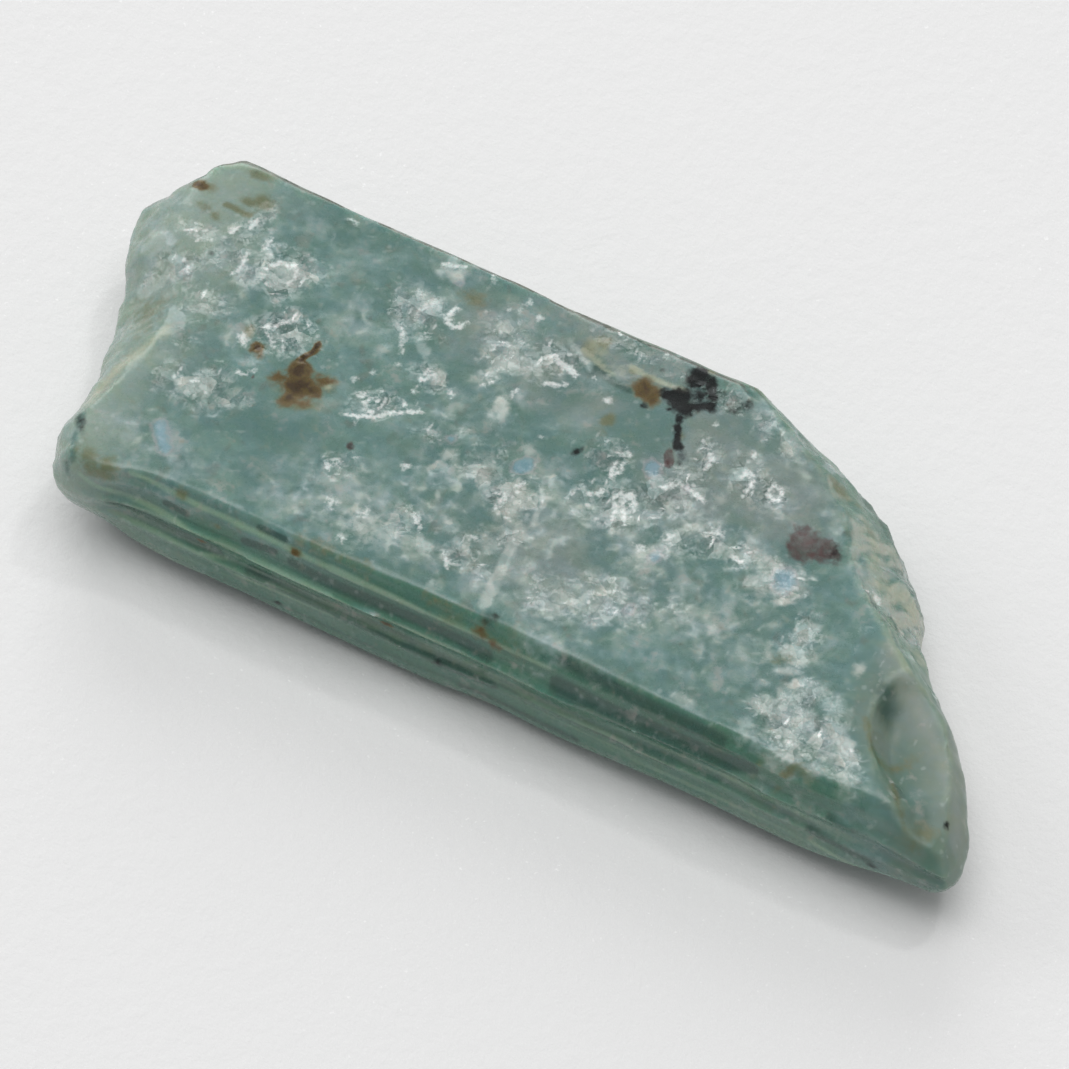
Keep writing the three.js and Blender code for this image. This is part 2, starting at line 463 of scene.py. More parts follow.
def oval(across: float, down: float, long: float, wide: float, turn: float, strength: float) -> Spot:
    """A spot on the top face, given as the camera sees it.

    Args:
        across: Pixels from the picture's left edge to its middle.
        down: Pixels from the picture's upper edge to its middle.
        long: Its first half length, pixels.
        wide: Its second half length, pixels.
        turn: Anticlockwise from across the picture to its first half length, degrees.
        strength: How strong it is.

    Returns:
        The spot, in mm.
    """
    cos, sin = math.cos(math.radians(turn)), math.sin(math.radians(turn))
    middle = PICTURE.on_top(across, down)
    first = PICTURE.on_top(across + long * cos, down - long * sin) - middle
    second = PICTURE.on_top(across - wide * sin, down - wide * cos) - middle
    turned, halves, _ = np.linalg.svd(np.column_stack([first, second]))
    lie = math.degrees(math.atan2(turned[1, 0], turned[0, 0]))
    return Spot(middle[0], middle[1], halves[0] * OVAL_EDGE, halves[1] * OVAL_EDGE, lie, strength)


def line(path: tuple, half: float, strength: float) -> Stroke:
    """A stroke on the top face whose path is given as the camera sees it.

    Args:
        path: Pixels across and down of each of its points.
        half: Its half width, mm.
        strength: How strong it is.

    Returns:
        The stroke, in mm.
    """
    return Stroke(tuple(tuple(PICTURE.on_top(*pixel)) for pixel in path), half, strength)


def front(path: tuple, half: float, strength: float) -> Stroke:
    """A stroke along the front side, through X and Z in mm."""
    return Stroke(path, half, strength, Face.FRONT)


# What lies on the stone. Ovals and lines are placed in the camera's picture, in pixels. Spots, strokes
# and fronts are in mm on the stone itself. Marks of one layer don't add up: the strongest one counts.
MARKS: dict[Layer, list[Mark]] = {
    Layer.MILK: [
        # the left end
        oval(135, 430, 45, 28, -20, 0.75),
        oval(178, 462, 32, 20, -20, 0.8),
        oval(160, 225, 55, 30, 30, 0.8),
        oval(170, 262, 46, 16, 0, 0.8),
        oval(200, 385, 34, 26, -20, 0.7),
        # left of the middle
        oval(350, 495, 62, 36, -15, 0.95),
        oval(425, 500, 50, 32, -20, 0.8),
        oval(310, 500, 60, 36, -20, 0.8),
        oval(400, 545, 60, 26, -25, 0.8),
        oval(352, 320, 26, 30, 0, 0.8),
        oval(420, 300, 40, 34, 0, 0.7),
        oval(255, 265, 50, 36, 40, 0.85),
        oval(240, 335, 24, 16, 0, 0.8),
        oval(330, 225, 50, 20, -20, 0.45),
        # the middle
        oval(485, 575, 30, 34, 30, 0.85),
        oval(500, 400, 26, 26, 0, 0.8),
        oval(505, 345, 30, 42, -30, 0.8),
        oval(450, 270, 28, 16, 0, 0.9),
        oval(600, 600, 90, 34, -5, 1.1),
        oval(590, 515, 110, 34, -5, 0.8),
        oval(545, 640, 34, 22, -20, 0.75),
        oval(530, 550, 44, 45, 50, 0.7),
        oval(450, 410, 34, 26, 0, 0.6),
        oval(470, 470, 26, 30, 0, 0.7),
        oval(560, 500, 60, 30, -30, 0.9),
        oval(450, 480, 60, 22, -25, 0.8),
        oval(530, 590, 60, 20, -28, 0.9),
        oval(560, 540, 30, 16, -30, 0.8),
        # the right
        oval(645, 550, 44, 30, -10, 0.9),
        oval(750, 555, 30, 30, 0, 0.9),
        oval(690, 615, 55, 42, -20, 0.8),
        oval(790, 585, 48, 22, 0, 0.9),
        oval(800, 725, 58, 44, -20, 1.1),
        oval(842, 735, 22, 50, 20, 0.9),
        oval(845, 775, 36, 20, -50, 0.8),
        oval(805, 650, 30, 40, -30, 0.7),
        oval(775, 450, 45, 40, 0, 0.6),
        oval(700, 470, 40, 30, 0, 0.6),
        oval(690, 520, 40, 28, 0, 0.7),
        line(((745, 392), (775, 420), (800, 462), (825, 505)), 0.32, 0.6),
        line(((825, 505), (850, 555), (880, 600)), 0.35, 0.6),
        oval(640, 560, 50, 22, -30, 0.7),
        oval(780, 500, 30, 20, -40, 0.6),
        oval(655, 600, 14, 45, 0, 0.8),
        oval(682, 700, 20, 6, -25, 0.9),
        # the tip
        oval(895, 700, 10, 20, 0, 0.4),
        oval(925, 770, 12, 24, 0, 0.6),
        oval(940, 860, 14, 14, 0, 0.5),
        # placed in mm
        Spot(4.2, -0.6, 3.4, 2.1, -20, 0.5),
        Spot(2.2, -1.9, 2.4, 1, -10, 0.5),
        # the front side
        Spot(8.8, 0.75, 0.45, 0.3, 20, 0.7, Face.FRONT),
    ],
    Layer.PLATE: [
        # left of the middle
        oval(297, 276, 16, 13, 0, 1),
        oval(383, 350, 10, 7, 20, 0.9),
        oval(283, 340, 16, 14, 0, 0.7),
        oval(422, 345, 7, 15, 20, 1),
        oval(415, 364, 8, 6, 0, 0.7),
        oval(390, 526, 6, 10, 0, 1.1),
        oval(425, 546, 26, 8, 0, 0.7),
        oval(365, 528, 28, 20, 0, 0.8),
        # the middle
        oval(455, 273, 15, 8, -10, 0.8),
        oval(510, 353, 10, 19, -25, 1.3),
        oval(496, 368, 7, 12, -35, 1.1),
        oval(500, 408, 9, 13, -20, 1.2),
        oval(555, 374, 16, 10, 0, 0.6),
        oval(529, 448, 7, 7, 0, 1),
        oval(450, 456, 12, 7, 0, 1),
        oval(487, 472, 9, 19, -15, 1.2),
        oval(438, 469, 14, 7, 10, 0.8),
        oval(455, 431, 9, 9, 0, 0.7),
        oval(478, 377, 12, 7, 0, 0.6),
        oval(515, 502, 12, 22, -25, 1.3),
        oval(490, 545, 15, 9, 0, 1.1),
        oval(460, 545, 12, 9, -20, 0.9),
        oval(452, 524, 9, 7, -30, 1),
        oval(432, 582, 12, 6, -30, 0.8),
        oval(614, 508, 20, 18, 0, 0.7),
        line(((520, 529), (508, 553), (496, 578), (484, 604)), 0.14, 1.3),
        line(((554, 477), (546, 500), (531, 527)), 0.1, 0.8),
        line(((570, 340), (584, 354), (590, 368)), 0.1, 0.9),
        oval(616, 374, 12, 9, -40, 0.7),
        # the right
        oval(672, 510, 7, 11, 0, 0.9),
        oval(692, 510, 12, 24, 20, 0.7),
        oval(749, 552, 9, 14, -10, 1.2),
        oval(760, 582, 16, 18, -30, 1.1),
        oval(806, 632, 15, 9, 35, 1.4),
        oval(795, 650, 10, 16, -25, 1.2),
        oval(785, 669, 11, 5, -15, 1),
        oval(768, 651, 5, 12, -20, 0.8),
        oval(713, 629, 6, 11, -25, 0.8),
        oval(801, 684, 12, 9, 0, 1.1),
        oval(788, 700, 18, 9, 40, 1.2),
        oval(768, 709, 10, 8, 20, 1.2),
        oval(748, 725, 8, 17, -20, 1),
        oval(792, 742, 11, 6, 0, 1.3),
        oval(835, 706, 15, 9, -15, 1.2),
        oval(835, 729, 12, 9, 0, 1.1),
        oval(846, 748, 10, 17, 0, 1.2),
        oval(848, 775, 11, 10, 0, 1.2),
        oval(801, 717, 18, 11, 0, 1),
        oval(860, 668, 7, 10, 0, 0.9),
        oval(716, 500, 20, 10, 0, 0.5),
        oval(770, 512, 24, 10, -15, 0.5),
        oval(761, 578, 10, 13, 0, 1.2),
        oval(785, 600, 16, 5, 10, 0.9),
    ],
    Layer.FLAKE: [
        # the left end
        oval(185, 257, 42, 14, 0, 0.8),
        oval(200, 385, 44, 24.5, -10, 0.9),
        oval(205, 300, 30, 25, 0, 0.6),
        oval(190, 340, 20, 18, 0, 0.5),
        # left of the middle
        oval(280, 272, 38, 26, 0, 1.1),
        oval(245, 240, 42, 20, 60, 0.8),
        oval(285, 332, 36, 26, 0, 1),
        oval(415, 312, 36, 26, -20, 1),
        oval(375, 402, 26, 15, 10, 1),
        oval(335, 463, 24, 13, 0, 0.8),
        oval(410, 520, 26, 20, -30, 0.7),
        # the middle
        oval(430, 377, 20, 13, -20, 1.2),
        oval(502, 350, 32, 22, 50, 1),
        oval(553, 362, 25, 22, 0, 1),
        oval(482, 465, 24, 24, 0, 0.9),
        oval(515, 495, 28, 28, 40, 1),
        oval(612, 503, 44, 26, -10, 1.1),
        oval(612, 460, 18, 24, 40, 1),
        oval(490, 542, 42, 14, 0, 0.8),
        oval(470, 560, 40, 14, -20, 0.7),
        oval(600, 600, 84, 28, -8, 0.75),
        oval(440, 430, 30, 14, 0, 0.5),
        # the right
        oval(675, 492, 34, 25, 0, 1.1),
        oval(748, 480, 22, 22, 0, 0.9),
        oval(780, 582, 34, 20, 0, 0.9),
        oval(800, 642, 18, 32, -30, 1.1),
        oval(800, 722, 52, 38, -20, 1),
        oval(848, 765, 26, 18, -40, 0.9),
        oval(705, 462, 14, 25, -20, 1),
        oval(690, 545, 36, 18, 0, 1),
        oval(740, 555, 16, 14, 0, 1.1),
        oval(775, 440, 30, 20, -40, 0.6),
        oval(640, 350, 50, 14, -28, 0.6),
        oval(720, 400, 30, 14, -20, 0.6),
        # placed in mm
        Spot(3.85, 2, 0.3, 0.3, 35, 1.1),
        Spot(-7.2, 2.1, 0.5, 0.4, 30, 0.5),
    ],
    Layer.POOL: [
        # the left end
        oval(200, 402, 28, 20, 0, 0.6),
        # left of the middle
        oval(275, 425, 60, 26, -15, 1.1),
        oval(425, 452, 50, 22, -10, 1),
        oval(335, 555, 50, 14, -25, 0.9),
        oval(400, 240, 110, 20, -24, 0.7),
        oval(255, 470, 26, 30, 0, 0.8),
        oval(330, 390, 20, 40, 0, 0.4),
        oval(428, 565, 20, 9, 0, 1.1),
        oval(420, 488, 22, 9, 0, 0.8),
        line(((340, 552), (380, 560), (420, 580)), 0.2, 0.9),
        # the middle
        oval(480, 512, 32, 20, 0, 1.1),
        oval(495, 432, 48, 13, -30, 1),
        oval(600, 467, 46, 22, 0, 1),
        oval(620, 562, 46, 22, -10, 1),
        oval(570, 388, 30, 26, 0, 0.9),
        oval(432, 562, 36, 15, 0, 0.9),
        oval(610, 672, 60, 15, -22, 0.9),
        oval(540, 455, 20, 20, 0, 0.7),
        # painted shadow under the flake's step, the next two marks
        line(((594, 362), (602, 374), (614, 387), (628, 397)), 0.22, 1.2),
        oval(600, 385, 14, 10, -30, 1),
        line(((478, 420), (500, 432), (520, 447)), 0.22, 1.1),
        oval(470, 515, 24, 12, -10, 1.2),
        oval(470, 495, 22, 7, 0, 0.8),
        oval(460, 560, 22, 7, 0, 0.9),
        oval(600, 548, 24, 22, 0, 0.9),
        oval(592, 478, 22, 9, 0, 1),
        # painted shadow under the flake's step, the next two marks
        oval(598, 378, 14, 12, 0, 1.2),
        oval(585, 366, 8, 10, 0, 1),
        # the right
        oval(648, 428, 38, 28, 0, 1.3),
        oval(775, 550, 40, 10, 0, 1.1),
        oval(715, 655, 34, 22, 0, 0.8),
        oval(700, 700, 60, 16, -24, 0.7),
        oval(690, 350, 14, 6, -28, 0.6),
        oval(640, 528, 32, 9, 0, 0.8),
        oval(640, 487, 16, 8, 0, 0.8),
        oval(755, 745, 10, 6, 0, 1),
        oval(825, 746, 8, 12, 0, 0.8),
        oval(800, 732, 9, 5, -40, 0.9),
        oval(740, 530, 26, 10, 0, 0.7),
        oval(760, 545, 6, 10, 0, 0.8),
        oval(655, 440, 17, 20, 0, 1.2),
        oval(642, 343, 22, 10, -25, 0.8),
        # painted shade in the hollow at the tip
        oval(882, 700, 12, 14, 0, 1),
        # placed in mm
        Stroke(((-6.95, -2.1), (-6.85, -2.55), (-6.7, -2.85)), 0.1, 0.9),
        Spot(0.55, 3.35, 0.5, 0.2, -5, 1),
        Spot(-6.2, -0.9, 0.6, 0.4, 30, 0.6),
    ],
    Layer.ASH: [
        oval(600, 380, 90, 50, -10, 1),
        oval(560, 560, 120, 60, -10, 0.8),
        oval(700, 470, 80, 70, -20, 1),
        oval(780, 500, 60, 60, 0, 1),
        oval(620, 330, 90, 20, -26, 1.2),
        oval(480, 330, 50, 60, 0, 0.6),
        oval(912, 706, 14, 22, 0, 1),
        oval(925, 760, 14, 25, 0, 1),
    ],
    Layer.MOSS: [
        Spot(8.2, -1.2, 1.9, 0.95, -51, 1.3),
        Spot(9.2, -2.2, 1.2, 0.9, -60, 1.2),
    ],
    Layer.CLAY: [
        line(((893, 648), (911, 680), (925, 705), (940, 735), (951, 780), (960, 810)), 0.38, 0.55),
        # a painted highlight in the tip's hollow
        oval(898, 722, 5, 11, -20, 0.45),
        oval(56, 455, 6, 22, -10, 0.5),
        line(((96, 392), (108, 375), (120, 362)), 0.14, 0.7),
    ],
    Layer.RUST: [
        # the star and its neighbour
        oval(300, 370, 10.5, 9, 0, 1.3),
        oval(299, 386, 16, 12.5, 0, 1.2),
        oval(289, 399, 12.5, 7, 15, 1),
        oval(313, 391, 9.5, 7, 0, 1),
        oval(280, 377, 11.5, 6, -10, 0.75),
        oval(322, 380, 12.5, 7, -5, 0.7),
        oval(304, 403, 8, 6, 0, 0.7),
        line(((299, 362), (306, 356), (314, 352), (318, 344)), 0.06, 1.3),
        oval(257, 347, 7, 6, 0, 1.1),
        oval(259, 354, 5, 6, 0, 0.6),
        # the back corner
        oval(200, 184, 9, 5, -10, 1),
        # under the flake
        oval(645, 388, 14, 9, -25, 0.85),
        oval(653, 398, 9, 8, -30, 0.85),
        Spot(1.0, 2.75, 0.25, 0.15, -30, 0.85),
        oval(608, 420, 6, 5, 0, 0.28),
        # the front side
        front(((0.9, 2.12), (1.25, 2.06)), 0.18, 0.38),
        Spot(-2.55, 2.15, 0.14, 0.08, 0, 0.8, Face.FRONT),
        Spot(-0.8, 1.4, 0.2, 0.06, 0, 0.8, Face.FRONT),
        Spot(-4.3, 1.45, 0.1, 0.06, 0, 0.9, Face.FRONT),
    ],
    Layer.OLIVE: [
        # round the star
        oval(303, 405, 18, 9, 0, 0.8),
        oval(325, 386, 14, 11, 0, 0.7),
        oval(278, 380, 14, 9, 0, 0.6),
        oval(250, 330, 6, 7, 0, 0.7),
        # the back corner
        oval(262, 201, 12, 8, 0, 1.1),
        oval(250, 201, 10, 6, -20, 1),
        line(((226, 203), (234, 207), (244, 213), (250, 214)), 0.09, 1.1),
        oval(204, 206, 11, 7, -20, 0.8),
        oval(215, 215, 7, 6, -40, 0.9),
        oval(259, 175, 15, 5, -15, 0.9),
        oval(210, 187, 11, 8, 0, 0.6),
        # by the flake and the black patch
        oval(603, 344, 9, 9, 0, 0.9),
        oval(590, 348, 10, 8, -30, 0.8),
        oval(633, 372, 5, 4, 0, 0.8),
        oval(608, 421, 9, 7, 10, 1.2),
        oval(604, 433, 10, 5, -20, 0.5),
        oval(688, 410, 10, 12, 0, 0.4),
        oval(680, 437, 3, 7, 0, 0.7),
        oval(682, 437, 4, 7, 0, 0.6),
        oval(712, 373, 6, 4, 0, 0.9),
        # elsewhere on top
        oval(472, 297, 20, 10, -20, 0.7),
        oval(366, 562, 6, 12, 20, 0.6),
        oval(662, 606, 6, 8, 0, 0.3),
        oval(776, 661, 8, 4, -20, 0.8),
        oval(785, 658, 14, 5, -15, 0.5),
        oval(812, 540, 7, 4, 0, 0.4),
        # the break at the right
        oval(840, 483, 16, 7, -40, 1),
        oval(858, 492, 8, 5, -40, 0.6),
        oval(872, 520, 10, 4, -60, 0.5),
        # round the hollow at the tip
        line(((866, 718), (870, 732), (874, 750)), 0.12, 0.7),
        line(((876, 752), (890, 758), (905, 753), (914, 745)), 0.16, 0.6),
        line(((893, 778), (900, 800), (907, 822)), 0.1, 0.6),
        oval(926, 817, 16, 10, 10, 0.8),
        oval(915, 826, 14, 6, -10, 0.7),
        # along the front edge
        oval(90, 455, 19, 12, -35, 0.9),
        oval(106, 463, 11, 11, 0, 0.85),
        oval(78, 447, 7, 8, 0, 0.7),
        Spot(-7.15, 0.35, 0.8, 0.55, -60, 0.6),
        Stroke(((-2.6, -2.5), (-1.4, -2.5)), 0.18, 0.5),
        Stroke(((-0.2, -2.5), (0.6, -2.45), (1.4, -2.45)), 0.25, 0.4),
        oval(757, 755, 8, 4, 20, 0.7),
        oval(790, 765, 20, 4, 15, 0.8),
        oval(803, 767, 16, 5, -35, 0.6),
        # the front side
        Spot(-4.75, 2.25, 0.2, 0.12, 0, 0.9, Face.FRONT),
        Spot(-4.05, 1.95, 0.16, 0.1, 0, 0.9, Face.FRONT),
        front(((0.3, 2.15), (1.7, 2.1)), 0.3, 0.4),
    ],
    Layer.CREAM: [
        # the flake: a painted highlight along its broken edge, and cream beside it
        Stroke(((-0.3, 3.1), (0.1, 2.95), (0.4, 2.85)), 0.08, 0.9),
        line(((632, 368), (647, 377), (663, 384), (675, 389), (686, 393)), 0.06, 1.3),
        oval(598, 350, 15.5, 11, -30, 0.6),
        Spot(0.4, 3.0, 0.35, 0.2, -10, 0.6),
        # the left end and the star
        line(((164, 330), (146, 345), (126, 360), (108, 374)), 0.17, 0.8),
        line(((108, 374), (97, 386), (90, 398)), 0.16, 0.9),
        oval(327, 386, 5, 4, 0, 1),
    ],
    Layer.INK: [
        # the black patch
        oval(699, 379, 11.5, 9, 0, 1.4),
        oval(694, 385, 8.5, 7, 0, 1.2),
        oval(711, 385, 6, 9, 0, 1.3),
        oval(713, 396, 6, 12, 0, 1.2),
        oval(710, 407, 8.5, 7, 0, 1.1),
        oval(669, 396, 8.5, 7, 0, 1.3),
        oval(677, 400, 11.5, 10, 0, 1.4),
        oval(686, 396, 7, 8.5, 0, 1.2),
        oval(684, 410, 11.5, 9, 0, 1.2),
        oval(676, 407, 7, 5.5, 0, 1.1),
        oval(700, 408, 13, 5.5, 0, 0.9),
        oval(700, 397, 9, 9, 0, 0.75),
        oval(669, 411, 4.5, 3, 0, 0.9),
        # its tail
        Spot(1.8, 2.55, 0.12, 0.08, -60, 1.2),
        Spot(1.85, 2.4, 0.09, 0.07, -60, 1.2),
        line(((678, 431), (677, 442), (680, 449)), 0.085, 1.05),
        oval(678, 446, 5, 7, 0, 0.9),
        oval(682, 458, 7, 8, 0, 0.7),
        # its neighbours
        oval(740, 409, 15.5, 9, 15, 0.6),
        oval(721, 399, 8, 7, 0, 0.5),
        oval(643, 406, 5, 3, -20, 0.9),
        oval(662, 371, 4, 3, 0, 0.5),
        # small specks
        oval(948, 807, 4, 4, 0, 0.8),
        oval(933, 808, 3, 3, 0, 0.45),
        Spot(5.35, 1.45, 0.3, 0.25, -65, 0.5),
        oval(846, 533, 4, 4, 0, 0.45),
        oval(350, 448, 4, 4, 0, 0.6),
        oval(211, 255, 6, 5, 0, 0.4),
        oval(275, 322, 4, 3, 0, 0.6),
        oval(256, 172, 4, 3, 0, 0.36),
        oval(253, 380, 4, 3, 0, 0.3),
        oval(577, 453, 7, 4, 40, 0.8),
        oval(782, 501, 4, 4, 0, 0.42),
        oval(80, 421, 6, 12, 10, 0.7),
        Spot(1.0, -2.4, 0.25, 0.15, 30, 0.45),
        Spot(-2.85, 0.7, 0.12, 0.09, 0, 0.8, Face.FRONT),
        Spot(0.2, 1.05, 0.34, 0.18, 0, 0.5, Face.FRONT),
        Spot(-4.2, 0.55, 0.1, 0.06, 0, 0.8, Face.FRONT),
        Spot(8.35, 0.95, 0.14, 0.1, 0, 0.7, Face.FRONT),
    ],
    Layer.WINE: [
        # the large red-brown spot at the right
        Spot(4.8, 1.35, 0.4, 0.35, -65, 1.3),
        Spot(5.1, 1.4, 0.3, 0.3, -65, 1.1),
        Spot(5.35, 1.4, 0.3, 0.2, -65, 0.6),
        # under the black tail, and small specks
        oval(669, 459, 5, 9, 0, 1.3),
        oval(350, 447, 4, 4, 0, 0.9),
        oval(253, 377, 3, 3, 0, 0.7),
    ],
    Layer.SHEEN: [
        line(((159, 425), (164, 447)), 0.16, 1.0),
        oval(522, 466, 11.5, 7, 20, 1.5),
        oval(452, 440, 6, 5, 0, 0.8),
        oval(651, 468, 9.5, 8.5, 0, 1.4),
        oval(655, 557, 6, 6, 0, 0.9),
        oval(785, 580, 11, 12, 0, 1.2),
        oval(628, 608, 8, 6, -30, 0.8),
        oval(687, 489, 5, 5, 0, 0.6),
        oval(460, 282, 6, 4, 0, 0.7),
    ],
    Layer.RIM: [
        # the left end
        line(((195, 241), (201, 239)), 0.08, 0.9),
        line(((207, 241), (214, 239)), 0.08, 0.9),
        line(((181, 267), (189, 264)), 0.08, 0.9),
        # left of the middle
        line(((256, 219), (250, 229)), 0.08, 1.2),
        line(((272, 238), (268, 243), (263, 251)), 0.08, 1.1),
        line(((247, 254), (243, 264), (240, 269)), 0.09, 1.2),
        line(((240, 269), (232, 273)), 0.07, 1),
        line(((270, 266), (279, 264)), 0.07, 1.2),
        line(((287, 265), (297, 264)), 0.07, 1.2),
        line(((297, 268), (296, 275), (288, 282)), 0.08, 1),
        line(((262, 279), (272, 286)), 0.08, 0.9),
        oval(233, 229, 8, 5, 10, 1.1),
        line(((264, 326), (274, 326), (283, 322), (296, 320)), 0.08, 1.1),
        line(((264, 327), (269, 336), (274, 346)), 0.08, 1),
        line(((282, 334), (283, 352)), 0.08, 0.8),
        line(((238, 371), (249, 374), (256, 369)), 0.08, 1),
        oval(243, 337, 7, 12, -10, 1.2),
        oval(308, 325, 5, 7, 0, 1),
        line(((341, 415), (356, 417), (371, 419), (388, 414), (402, 413), (422, 412)), 0.08, 1.1),
        line(((358, 418), (354, 427)), 0.08, 0.9),
        line(((417, 404), (418, 412)), 0.08, 0.9),
        oval(362, 395, 7, 6, 0, 1.1),
        line(((374, 398), (364, 402), (366, 410), (373, 413)), 0.09, 1),
        line(((387, 398), (380, 408)), 0.08, 1),
        oval(374, 371, 5, 4, 0, 1.1),
        oval(355, 380, 5, 5, 0, 1),
        oval(397, 365, 5, 6, 0, 0.9),
        line(((350, 218), (357, 223)), 0.07, 0.8),
        line(((415, 318), (422, 305), (432, 304)), 0.08, 0.9),
        line(((401, 325), (403, 340), (401, 352)), 0.09, 0.9),
        oval(428, 371, 5, 5, 0, 1.3),
        line(((421, 380), (431, 376)), 0.09, 1.2),
        oval(415, 390, 5, 5, 0, 1.1),
        oval(404, 404, 4, 6, 0, 1.1),
        line(((328, 466), (338, 463)), 0.12, 1.1),
        oval(332, 503, 8, 10, 0, 1),
        oval(365, 511, 10, 6, 20, 1),
        line(((416, 516), (420, 528)), 0.1, 1.2),
        oval(406, 467, 7, 6, 0, 1.1),
        oval(342, 538, 8, 6, -30, 0.9),
        # the middle
        line(((440, 263), (452, 265), (466, 266)), 0.08, 1.1),
        line(((493, 276), (496, 281)), 0.08, 1.2),
        oval(487, 310, 6, 4, 0, 1),
        oval(508, 308, 4, 4, 0, 1),
        oval(520, 309, 4, 4, 0, 0.9),
        oval(540, 317, 6, 5, 0, 1.1),
        oval(528, 302, 7, 5, 20, 0.8),
        line(((456, 308), (447, 315), (447, 321), (452, 327), (460, 327), (466, 323)), 0.1, 1.1),
        line(((433, 375), (439, 380)), 0.08, 1.1),
        oval(451, 394, 4, 6, 0, 1.2),
        line(((503, 343), (512, 345), (520, 345), (522, 340)), 0.08, 1),
        oval(495, 345, 6, 7, 0, 0.9),
        line(((546, 358), (555, 354), (557, 361)), 0.09, 1.2),
        line(((560, 363), (569, 367), (576, 373)), 0.11, 1.3),
        line(((546, 385), (566, 384)), 0.09, 1.1),
        line(((483, 384), (492, 382)), 0.08, 0.9),
        line(((509, 397), (517, 391)), 0.09, 0.9),
        oval(541, 437, 5, 4, 0, 1),
        oval(594, 378, 4, 4, 0, 0.9),
        oval(608, 401, 6, 4, 0, 1.1),
        line(((611, 478), (613, 468), (617, 463)), 0.09, 1.1),
        line(((616, 475), (625, 466)), 0.09, 1),
        line(((622, 455), (628, 457), (628, 447)), 0.08, 0.9),
        line(((588, 494), (600, 493), (605, 490)), 0.09, 1.1),
        line(((624, 497), (633, 498), (634, 510)), 0.1, 1.2),
        line(((622, 500), (625, 512), (625, 524)), 0.09, 1),
        line(((618, 505), (612, 520)), 0.09, 0.9),
        oval(447, 560, 5, 9, 0, 1.3),
        oval(474, 538, 8, 5, -20, 1.1),
        line(((506, 496), (498, 507)), 0.12, 1.1),
        line(((516, 487), (526, 481)), 0.09, 1),
        oval(621, 335, 4, 3, 0, 1.2),
        oval(619, 333, 3, 2.5, 0, 1.3),
        oval(626, 340, 2, 2, 0, 1.2),
        line(((615, 494), (614, 510), (612, 520)), 0.06, 1.2),
        line(((622, 492), (624, 506), (624, 522)), 0.06, 1.2),
        line(((630, 494), (632, 505), (631, 516)), 0.06, 1.2),
        # the right
        # a painted glint
        oval(716, 425, 4, 4, 0, 1.3),
        line(((664, 488), (675, 484), (683, 486), (693, 492), (703, 501)), 0.11, 1),
        line(((710, 452), (713, 460), (706, 470)), 0.09, 1.1),
        line(((742, 478), (749, 472), (753, 476), (752, 487), (746, 493)), 0.09, 1.1),
        line(((768, 492), (775, 486), (782, 491), (779, 500), (770, 500), (768, 492)), 0.09, 1),
        oval(753, 456, 4, 6, 0, 1.1),
        line(((734, 557), (741, 562)), 0.09, 1.3),
        oval(640, 546, 9, 6, 0, 1.1),
        oval(669, 539, 7, 8, 0, 1.2),
        oval(718, 534, 8, 7, 0, 1.2),
        oval(683, 544, 5, 5, 0, 0.8),
        oval(878, 593, 4, 9, 30, 1.2),
        oval(666, 358, 4, 7, 0, 1),
        # a painted highlight along the flake's edge
        line(((664, 384), (675, 389), (685, 393)), 0.06, 0.9),
    ],
    # painted highlights along the tops of the ribs of the front side
    Layer.RIDGE: [
        # the left end, from the top down
        front(((-5.7, 2.3), (-5.0, 2.2), (-3.8, 2.16), (-2.8, 2.16), (-1.9, 2.15)), 0.08, 1.0),
        front(((-6.5, 2.08), (-5.9, 1.86), (-4.9, 1.76), (-3.9, 1.62), (-2.8, 1.68), (-1.8, 1.67)), 0.08, 1),
        front(((-6.0, 1.28), (-4.9, 1.22), (-4.3, 1.2), (-3.8, 1.3)), 0.08, 0.8),
        front(((-5.6, 0.6), (-4.4, 0.55)), 0.12, 0.6),
        # the middle and right
        front(((-1.9, 2.15), (-0.8, 2.1), (-0.2, 2.05)), 0.09, 1.2),
        front(((-0.2, 2.05), (1.0, 2.08), (2.2, 2.1)), 0.09, 0.9),
        front(((-1.8, 1.66), (-1.4, 1.62), (0.4, 1.55), (1.8, 1.58)), 0.08, 0.9),
        front(((-3.6, 1.02), (-2.4, 1.02), (-1.8, 1.05)), 0.09, 0.8),
        front(((1.4, 1.0), (3.0, 0.95), (4.6, 1.0)), 0.08, 0.6),
        front(((3.8, 1.5), (5.4, 1.42)), 0.08, 0.6),
        # under the hollow at the tip
        front(((7.2, 0.9), (8.0, 0.7), (8.6, 0.6)), 0.1, 1.0),
    ],
    # painted shade in the grooves of the front side and under steps on top
    Layer.GROOVE: [
        # short lenses at the left end
        front(((-5.0, 1.96), (-4.6, 1.93)), 0.08, 1.3),
        front(((-3.5, 1.9), (-2.95, 1.98)), 0.1, 1.3),
        front(((-3.3, 2.24), (-2.8, 2.24)), 0.08, 1.2),
        # long grooves
        front(((-2.6, 1.92), (-2.0, 1.88), (0.0, 1.82), (1.1, 1.8)), 0.15, 1.0),
        front(((-5.9, 1.6), (-4.9, 1.45), (-4.0, 1.4)), 0.15, 1.0),
        front(((-3.3, 1.25), (-2.0, 1.22), (-0.8, 1.2), (0.4, 1.1), (1.2, 1.1)), 0.18, 1.0),
        front(((2.4, 1.88), (3.4, 1.83), (5.4, 1.85), (6.0, 1.98)), 0.2, 1.2),
        front(((2.4, 2.28), (4.0, 2.22), (5.4, 2.2)), 0.2, 0.9),
        front(((1.4, 1.22), (2.6, 1.2), (4.6, 1.2)), 0.12, 0.8),
        front(((0.6, 0.65), (2.8, 0.65)), 0.15, 0.8),
        front(((7.2, 1.2), (8.3, 1.08)), 0.14, 0.9),
